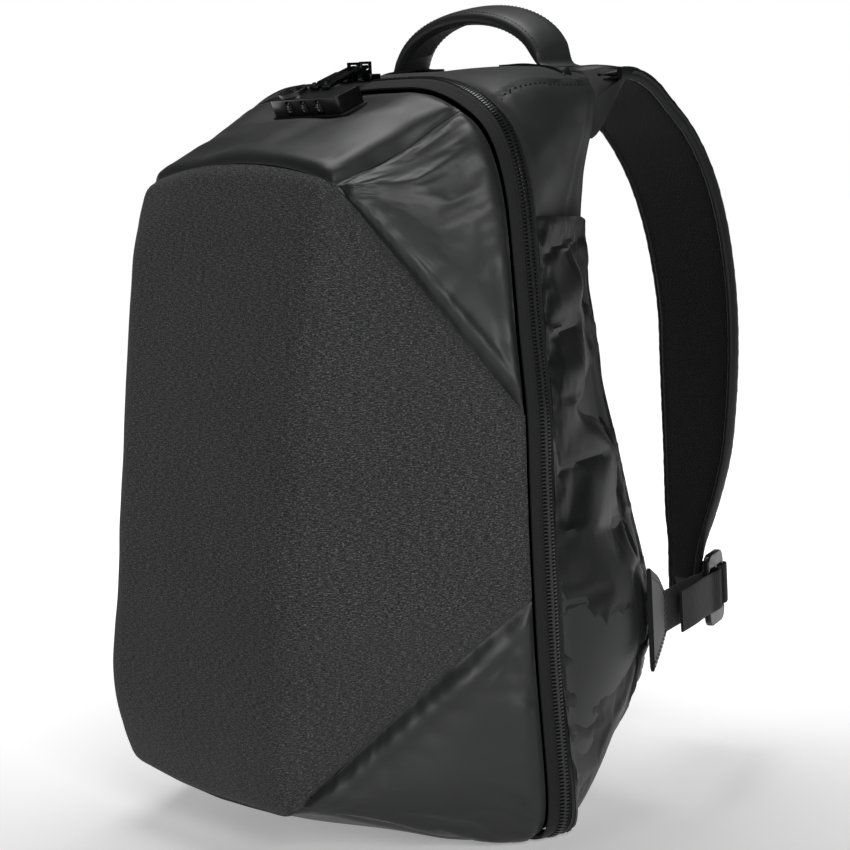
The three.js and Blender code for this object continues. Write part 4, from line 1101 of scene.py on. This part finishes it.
# ---- Back ----
def spanned(first, last, left, right):
    """A surface between four edge lines; first and last run from left to right."""
    u = np.linspace(0, 1, len(first))[None, :, None]
    v = np.linspace(0, 1, len(left))[:, None, None]
    flat = (1 - u) * ((1 - v) * first[0] + v * last[0]) + u * ((1 - v) * first[-1] + v * last[-1])
    return (1 - v) * first[None] + v * last[None] + (1 - u) * left[:, None] + u * right[:, None] - flat


def back_edge(row, more=0.6):
    s = abs(row)
    (x, z), _ = outline(2, row, -(column(5, s) + more))
    return vec(x, column(4, s) * BACK_DEPTH, z)


def back_panel():
    right_rows = even_rows(3.2, LAST, 120, 2)
    right = np.array([back_edge(r) for r in right_rows])
    first = np.array([back_edge(r) for r in np.linspace(-3.2, 3.2, 90)])
    last = np.array([mix(mirrored(right[-1]), right[-1], t) for t in np.linspace(0, 1, 90)])
    grid = spanned(first, last, mirrored(right), right)
    distances = edge_distances(grid)
    x, z = grid[..., 0], grid[..., 2]
    # Two tall pads with a channel between them, each sewn across in three places.
    pad = 1 - near(x, 11)
    for high in (335, 225, 115):
        pad = pad * (1 - 0.75 * near(z - high - 0.05 * np.abs(x), 6))
    pad = pad * (1 - near(np.minimum.reduce(distances), 9))
    n = outward(grid, np.broadcast_to(vec(0, 1, 0), grid.shape))
    swollen = settled(grid, n, 3.0, 0.01, 5.0)
    grid = grid + (swollen - grid) * pad[..., None]
    grid = grid + n * (1.0 + 5.0 * pad + 0.4 * ripple(grid, 40, 61) * pad)[..., None]
    made = sheet_of("back_panel_mesh", grid, n, 5.0, MESH, slot="spacer_mesh", nodes=["back_panel"])
    edge = np.concatenate([first, right[1:], last[::-1][1:], mirrored(right)[::-1][1:-1]])
    centre = edge + vec(0, 0.7, 0)
    run = unit(np.roll(centre, -1, axis=0) - np.roll(centre, 1, axis=0))
    side = unit(np.cross(run, vec(0, 1, 0)))
    closed = np.concatenate([centre, centre[:1]])
    strip("back_panel_binding", closed, np.concatenate([side, side[:1]]),
          np.broadcast_to(vec(0, 1, 0), closed.shape), 4.2, 3.6, BINDING, 2.4, 12, slot="spacer_mesh")
    inset = [edge_line(grid, n, k, 6.5, (0.04, 0.96)) for k in range(4)]
    sewn("back_panel_stitches", inset, slot="spacer_mesh")


back_panel()


# ---- Shoulder straps ----
# Across, back and high as shares, then width and thickness in mm.
STRAP = np.array([
    [0.465, 1.006, 0.993, 72, 7], [0.47, 1.135, 0.993, 75, 7], [0.47, 1.279, 0.98, 75, 7.5],
    [0.466, 1.442, 0.948, 74, 7.5], [0.463, 1.615, 0.907, 73, 7.5], [0.465, 1.769, 0.847, 71, 7.5],
    [0.466, 1.865, 0.784, 69, 7.5], [0.468, 1.923, 0.715, 67, 7.5], [0.475, 1.942, 0.646, 65, 7.5],
    [0.472, 1.942, 0.577, 64, 7.5], [0.462, 1.942, 0.512, 61, 7.5], [0.443, 1.942, 0.438, 55, 7.5],
    [0.413, 1.942, 0.381, 47, 7], [0.387, 1.942, 0.339, 39, 7], [0.364, 1.942, 0.3, 31, 5],
    [0.348, 1.937, 0.258, 27, 4], [0.341, 1.937, 0.226, 25, 4]])


def on_body_top(x, y, lift):
    """A place that lies lift mm over the body's top, straight above x and y."""
    high = rear[rear[..., 2] > 0.85 * ZIP_HEIGHT]
    distance = np.hypot(high[:, 0] - x, high[:, 1] - y)
    nearest = np.argsort(distance, kind="stable")[:6]
    weight = 1 / (distance[nearest] + 0.5)
    return vec(x, y, (high[nearest, 2] * weight).sum() / weight.sum() + lift)


def shoulder_strap(side_name, sign):
    rows = STRAP.copy()
    rows[:, 0] *= HALF_WIDTH
    rows[:, 1] *= BACK_DEPTH
    rows[:, 2] *= ZIP_HEIGHT
    fine = curve_through(rows, 130)
    centre = fine[:, :3] * np.array([sign, 1, 1])
    centre[0, 1] = BACK_DEPTH + 1.5
    width, thick = fine[:, 3], fine[:, 4]
    run = unit(np.gradient(centre, axis=0))
    across = np.broadcast_to(vec(1, 0, 0), centre.shape)
    normal = unit(np.stack([np.zeros(len(centre)), -run[:, 2], run[:, 1]], 1))
    share_at = np.linspace(0, 1, len(centre))
    ease = np.clip(np.minimum(share_at, 1 - share_at) * 40, 0.35, 1)
    # The pad, its bindings and the cover over its root take the darker copy of the coated cloth, which is
    # painted shade.
    strip("shoulder_strap_pad_" + side_name, centre, across, normal, (width - 5) * ease**0.3,
          thick * 0.86 * ease, COATED_SHADED, 3.2, 40, slot="spacer_mesh",
          nodes=["shoulder_strap_" + side_name])
    # Mesh face towards the back: crowned, and thin where it runs out in the strip that holds the buckle.
    cols = 26
    u = np.linspace(-1, 1, cols)
    crown = (1 - np.abs(u) ** 4) * 1.4
    part = slice(1, len(centre) - 3)
    out = u[None, :] * (width[part, None] - 7) / 2
    under = thick[part, None] * 0.36 + crown[None, :]
    face = (centre[part, None] + across[part, None] * out[..., None]
            - normal[part, None] * under[..., None])
    n = outward(face, -np.broadcast_to(normal[part, None], face.shape))
    made = sheet_of("shoulder_strap_mesh_" + side_name, face, n, 1.0, MESH, slot="spacer_mesh")
    lines = []
    pucker = np.sin(share_at * 260) * np.sin(share_at * 71 + 1)
    for edge in (-1, 1):
        line = centre + across * (edge * (width / 2 - 2.0))[:, None]
        edge_name = "outer" if edge * sign > 0 else "inner"
        strip(f"shoulder_strap_binding_{side_name}_{edge_name}", line[2:], across[2:], normal[2:], 4.4,
              thick[2:] * 1.02 + 0.5 + 0.5 * pucker[2:], COATED_SHADED, 2.6, 16, slot="spacer_mesh")
        inside = centre + across * (edge * (width / 2 - 5.2))[:, None]
        lines.append((inside[4:-4] - normal[4:-4] * (thick[4:-4] * 0.36 + 1.0)[:, None], -normal[4:-4]))
        lines.append((inside[4:-4] + normal[4:-4] * (thick[4:-4] * 0.43 - 0.35)[:, None], normal[4:-4]))
    sewn("shoulder_strap_stitches_" + side_name, lines, slot="spacer_mesh")
    # Coated cloth of the body runs on over the strap's root.
    u = np.linspace(-1, 1, 21)
    rows = [[on_body_top(sign * (65 + v * 29), y, 1.3) for v in u] for y in (78, 86, 94)]
    for i in (5, 10, 16, 22, 27, 32):
        high = thick[i] * 0.43 + 1.5 - 4.0 * np.abs(u) ** 8
        out = u * (width[i] / 2 + 0.9)
        rows.append(centre[i] + across[i] * out[:, None] + normal[i] * high[:, None])
    cover = refined(np.array(rows), 70, 30)
    cover_normals = outward(cover, np.broadcast_to(vec(0, 0.5, 1), cover.shape))
    cover += cover_normals * (0.5 * ripple(cover, 24, 71, (1.6, 1, 1)))[..., None]
    sheet_of("shoulder_strap_cover_" + side_name, cover, cover_normals, COVER_THICK, COATED_SHADED,
             slot="coated_cloth")
    sewn("shoulder_strap_cover_stitches_" + side_name,
         [edge_line(cover, cover_normals, k, 3.4, (0.3, 0.97)) for k in (2, 3)])


for side_name, sign in (("right", 1), ("left", -1)):
    shoulder_strap(side_name, sign)


# ---- Carry handle ----
def carry_handle():
    span, rise, width, thick = 0.46 * HALF_WIDTH, 34.0, 28.0, 9.0
    middle_y, middle_z = 0.9 * BACK_DEPTH, 1.008 * ZIP_HEIGHT - 0.6
    arch = [(span + 9, middle_z - 0.9, 0, 1, 2.5), (span, middle_z + 1.4, 0.45, 0.9, 5)]
    for degrees in np.linspace(18, 162, 13):
        a = math.radians(degrees)
        nx, nz = math.cos(a) * rise, math.sin(a) * span
        long = math.hypot(nx, nz)
        arch.append((math.cos(a) * (span - 3), middle_z + 1 + math.sin(a) * rise, nx / long, nz / long,
                     thick))
    arch += [(-span, middle_z + 1.4, -0.45, 0.9, 5), (-span - 9, middle_z - 0.9, 0, 1, 2.5)]
    fine = curve_through(arch, 110)
    centre = np.stack([fine[:, 0], np.full(len(fine), middle_y), fine[:, 1]], 1)
    normal = unit(np.stack([fine[:, 2], np.zeros(len(fine)), fine[:, 3]], 1))
    lean = 0.16 * np.clip((fine[:, 1] - middle_z - 3) / 8, 0, 1)
    across = unit(np.stack([np.zeros(len(fine)), np.ones(len(fine)), lean], 1))
    padded_share = np.clip((fine[:, 1] - middle_z - 2) / 8, 0, 1)
    made = strip("carry_handle_pad", centre, across, normal, width,
                 fine[:, 4] * (0.86 + 0.2 * padded_share), COATED, 2.9, 36, slot="coated_cloth",
                 nodes=["carry_handle"])
    under = centre - normal * (fine[:, 4] * 0.47)[:, None]
    keep = slice(16, -16)
    strip("carry_handle_lining", under[keep], across[keep], normal[keep], width - 9, 1.2, MESH, 5, 16,
          slot="coated_cloth")
    lines = []
    for edge in (-1, 1):
        side = centre + across * (edge * (width / 2 - 2.6))
        lines.append((side[10:-10] + normal[10:-10] * (fine[10:-10, 4] * 0.41)[:, None], normal[10:-10]))
        lines.append((side[10:-10] - normal[10:-10] * (fine[10:-10, 4] * 0.41)[:, None], -normal[10:-10]))
    sewn("carry_handle_stitches", lines)


carry_handle()


# ---- Webbing, buckles and anchors ----
BUCKLE_AT = vec(0.551 * HALF_WIDTH, 1.885 * BACK_DEPTH, 0.242 * ZIP_HEIGHT)
ANCHOR_END = vec(0.865 * HALF_WIDTH, 0.997 * BACK_DEPTH, 0.259 * ZIP_HEIGHT)
ALONG = unit((BUCKLE_AT - ANCHOR_END) * np.array([1, 1, 0]))
ACROSS = vec(ALONG[1], -ALONG[0], 0)
RUN = float(np.linalg.norm(ANCHOR_END - BUCKLE_AT))
WEB_WIDE, WEB_THICK = 25.0, 1.5
LOW, HIGH = ANCHOR_END[2], BUCKLE_AT[2]


def local(e, n, z):
    p = BUCKLE_AT + ALONG * e + ACROSS * n
    return (p[0], p[1], z)


def upright(name, path, width, thick, material, slot, nodes, sign, count=90, power=8.0):
    """Webbing that stands on its edge along a path seen from above; gives its middle line and normals."""
    fine = curve_through([tuple(p) + ((width,) if len(p) == 3 else ()) for p in path], count)
    centre = fine[:, :3] * np.array([sign, 1, 1])
    run = np.gradient(centre, axis=0)
    normal = unit(np.stack([run[:, 1], -run[:, 0], np.zeros(count)], 1))
    up = np.broadcast_to(vec(0, 0, 1), centre.shape)
    strip(name, centre, up, normal, fine[:, 3], thick, material, power, 16, slot=slot, nodes=nodes)
    return centre, normal


def fittings(side_name, sign):
    upright("webbing_run_" + side_name, [
        local(-RUN + 0.4, 0, LOW), local(-RUN * 0.7, -0.5, mix(LOW, HIGH, 0.25)),
        local(-RUN * 0.35, -2.2, mix(LOW, HIGH, 0.65)), local(-17, -3.3, HIGH), local(2, -3.3, HIGH),
        local(4, -1.6, HIGH), local(4, 1.6, HIGH), local(2, 3.3, HIGH), local(-17, 3.3, HIGH),
        local(-RUN * 0.35, 5, mix(LOW, HIGH, 0.75)), local(-RUN * 0.65, 7, mix(LOW, HIGH, 0.5)),
        local(-RUN * 0.86, 6.5, mix(LOW, HIGH, 0.4))], WEB_WIDE, WEB_THICK, WEBBING, "webbing",
        ["strap_webbing_" + side_name], sign, 160)
    end = vec(STRAP[-1, 0] * HALF_WIDTH, STRAP[-1, 1] * BACK_DEPTH, STRAP[-1, 2] * ZIP_HEIGHT)
    behind = end[1] + 4.1
    upright("strap_stub_web_" + side_name, [
        (end[0] - 8, behind - 0.95, HIGH), (end[0] + 7, behind - 0.95, HIGH),
        (end[0] + 15, behind + 3, HIGH),
        local(22, -1.2, HIGH), local(16, -3.3, HIGH), local(12, -3.3, HIGH), local(10, -1.7, HIGH),
        local(10, 1.7, HIGH), local(12, 3.3, HIGH), local(16, 3.3, HIGH), local(22, 1.2, HIGH),
        (end[0] + 13.5, behind + 5, HIGH), (end[0] + 7, behind + 0.95, HIGH),
        (end[0] - 8, behind + 0.95, HIGH)],
        WEB_WIDE, WEB_THICK, WEBBING, "webbing", ["strap_stub_" + side_name], sign, 160)
    softened("ladder_lock_" + side_name, "strap_buckle_" + side_name, ACETAL, 0.9,
             segments=3)
    # Anchor: a folded wing of coated cloth sewn over the webbing's end with two rows of stitches.
    wing = np.array([[*local(-RUN - 30, 1.8, LOW + 2), 62], [*local(-RUN - 22, 1.5, LOW + 2), 54],
                     [*local(-RUN - 14, 1.1, LOW + 2), 46], [*local(-RUN - 6, 0.5, LOW + 1), 35],
                     [*local(-RUN - 0.3, 0, LOW), 27]])
    # The wing takes the darker copy of the coated cloth, which is painted shade.
    centre, normal = upright("webbing_anchor_wing_" + side_name, wing, WEB_WIDE, 3.2, COATED_SHADED,
                             "coated_cloth", ["webbing_anchor_" + side_name], sign, 40, 6.0)
    fine = curve_through(wing, 40)
    lines = []
    for face in (-1, 1):
        off = normal * (face * 1.62)
        for inset in (2.4, 5.2):
            for edge in (-1, 1):
                z = (fine[:, 3] / 2 - inset) * edge
                lines.append((centre + off + np.stack([z * 0, z * 0, z], 1), normal * face))
        for k in (36, 33):
            z = np.linspace(-1, 1, 14) * (fine[k, 3] / 2 - 2.5)
            line = centre[k] + off[k] + np.stack([z * 0, z * 0, z], 1)
            lines.append((line, np.broadcast_to(normal[k] * face, line.shape)))
    sewn("webbing_anchor_stitches_" + side_name, lines)


for side_name, sign in (("right", 1), ("left", -1)):
    fittings(side_name, sign)


# ---- Lock, pull tabs and sliders ----
LOCK_TILT = math.radians(20)
LOCK_TALL = 10.0
LOCK_PLACE = (Matrix.Translation((0, LOCK_Y + LOCK_TALL * math.sin(LOCK_TILT),
                                  0.9884 * ZIP_HEIGHT - LOCK_TALL * math.cos(LOCK_TILT)))
              @ Matrix.Rotation(LOCK_TILT, 4, "X"))


def in_lock(points):
    """Points of the lock's own frame, whose floor is z = 0, placed on the bag."""
    turn = np.array(LOCK_PLACE)
    return np.asarray(points, float) @ turn[:3, :3].T + turn[:3, 3]


softened("lock_case", "lock_body", GLOSS_ABS, 0.9, segments=3)
softened("lock_pad", "lock_base", RUBBER, 0.35)
softened("key_core", "lock_key_core", CHROME, 0.25, body="key")
for side_name in ("left", "right"):
    softened("pull_" + side_name, "pull_tab_" + side_name, CHROME, 0.4)
    softened("slider_" + side_name, "zip_slider_" + side_name, CHROME, 0.45)

DIALS_AT = (-14.0, 0.5, 15.0)
DIAL_Y, DIAL_Z, DIAL_RADIUS, DIAL_WIDE = -7.2, 4.6, 4.2, 4.8
DIAL_BORE, DIAL_CHAMFER, DIGIT_TALL = 1.6, 0.35, 2.6


def number_dial(k, x):
    """A dial with ten faces and a groove between each, and its numbers."""
    body = f"dial_{k}"
    around = 80
    angles = np.linspace(0, 2 * math.pi, around, endpoint=False)
    groove = 0.32 * np.exp(-((np.abs((angles / (2 * math.pi) * 10) % 1 - 0.5) / 0.14) ** 2))
    rows = []
    bore = np.full(around, DIAL_BORE)
    rim, face = DIAL_RADIUS - groove - DIAL_CHAMFER, DIAL_RADIUS - groove
    for side, r in ((-1, bore), (-1, rim), (-0.86, face), (0.86, face), (1, rim), (1, bore)):
        rows.append(np.stack([np.full(around, x + side * DIAL_WIDE / 2), DIAL_Y + r * np.cos(angles),
                              DIAL_Z + r * np.sin(angles)], 1))
    points = in_lock(np.concatenate(rows))
    faces = list(map(tuple, grid_faces(len(rows), around, around=True)))
    # Bore, from the last ring back to the first.
    last = (len(rows) - 1) * around
    faces += [(last + i, (i + 1) % around + last, (i + 1) % around, i) for i in range(around)]
    put(f"dial_ring_{k}", points, faces, DIAL_ABS, "dial_plastic", [f"lock_dial_{k}"], body, sharp=40)
    for digit in range(10):
        curve = bpy.data.curves.new("digit", "FONT")
        curve.body = str(digit)
        curve.size = DIGIT_TALL * MM
        curve.align_x, curve.align_y = "CENTER", "CENTER"
        curve.extrude = 0.03 * MM
        text = bpy.data.objects.new("digit", curve)
        scene.collection.objects.link(text)
        bpy.context.view_layer.update()
        seen = text.evaluated_get(bpy.context.evaluated_depsgraph_get())
        data = bpy.data.meshes.new_from_object(seen)
        bpy.data.objects.remove(text)
        a = math.radians(90 - 36 * digit)
        out = Vector((0, -math.cos(a), math.sin(a)))
        up = Vector((0, math.sin(a), math.cos(a)))
        right = up.cross(out)
        turn = Matrix((right, up, out)).transposed().to_4x4()
        spot = Vector((x, DIAL_Y, DIAL_Z)) + out * (DIAL_RADIUS + 0.01)
        data.transform(Matrix.Translation(Vector(in_lock([spot])[0]) * MM)
                       @ LOCK_PLACE.to_3x3().to_4x4() @ turn)
        data.materials.clear()
        data.materials.append(PAINT)
        data.name = f"dial_{k}_number_{digit}"
        made = bpy.data.objects.new(data.name, data)
        scene.collection.objects.link(made)
        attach(made, body)


for k, x in enumerate(DIALS_AT, 1):
    number_dial(k, x)


# ---- Studio ----
ROOM = "303030"
MIDDLE = Vector((0, 0, 0.22))


def studio():
    data = bpy.data.meshes.new("studio_floor")
    half = 6.0
    data.from_pydata([(-half, -half, 0), (half, -half, 0), (half, half, 0), (-half, half, 0)], [],
                     [(0, 1, 2, 3)])
    floor = bpy.data.objects.new("studio_floor", data)
    data.materials.append(PAPER)
    scene.collection.objects.link(floor)
    floor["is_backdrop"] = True
    # White paper behind the bag at eye level, a darker room round it.
    world = bpy.data.worlds.new("studio")
    world.use_nodes = True
    tree = world.node_tree
    tree.nodes.clear()
    way = add(tree, "TexCoord").outputs["Generated"]
    ahead = add(tree, "VectorMath", {0: way, 1: BACKDROP}, operation="DOT_PRODUCT").outputs["Value"]
    beyond = add(tree, "MapRange", {"Value": ahead, "From Min": 0.7, "From Max": 0.92})
    high = add(tree, "SeparateXYZ", {0: way}).outputs["Z"]
    low = add(tree, "MapRange", {"Value": high, "From Min": 0.07, "From Max": 0.15,
                                 "To Min": 1.0, "To Max": 0.0})
    paper = add(tree, "Math", {0: beyond, 1: low}, operation="MULTIPLY")
    room = add(tree, "Mix", {0: paper, 6: linear(ROOM), 7: linear("ffffff")}, data_type="RGBA")
    shown = next(out for out in room.outputs if out.enabled)
    add(tree, "OutputWorld", {"Surface": add(tree, "Background", {"Color": shown, "Strength": 1.0})})
    scene.world = world
    # Name, place, size in metres and power in watts of each soft box; all face the bag's middle.
    boxes = [("top_light", (-0.35, 0.2, 1.9), 0.9, 15), ("key_light", (2.15, -0.95, 1.15), 0.9, 28)]
    for name, place, size, power in boxes:
        light = bpy.data.lights.new(name, "AREA")
        light.size, light.energy = size, power
        lamp = bpy.data.objects.new(name, light)
        aim = (MIDDLE - Vector(place)).to_track_quat("-Z", "Y")
        lamp.matrix_world = Matrix.Translation(place) @ aim.to_matrix().to_4x4()
        scene.collection.objects.link(lamp)
    scene.view_settings.view_transform = "Standard"


studio()

low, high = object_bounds()
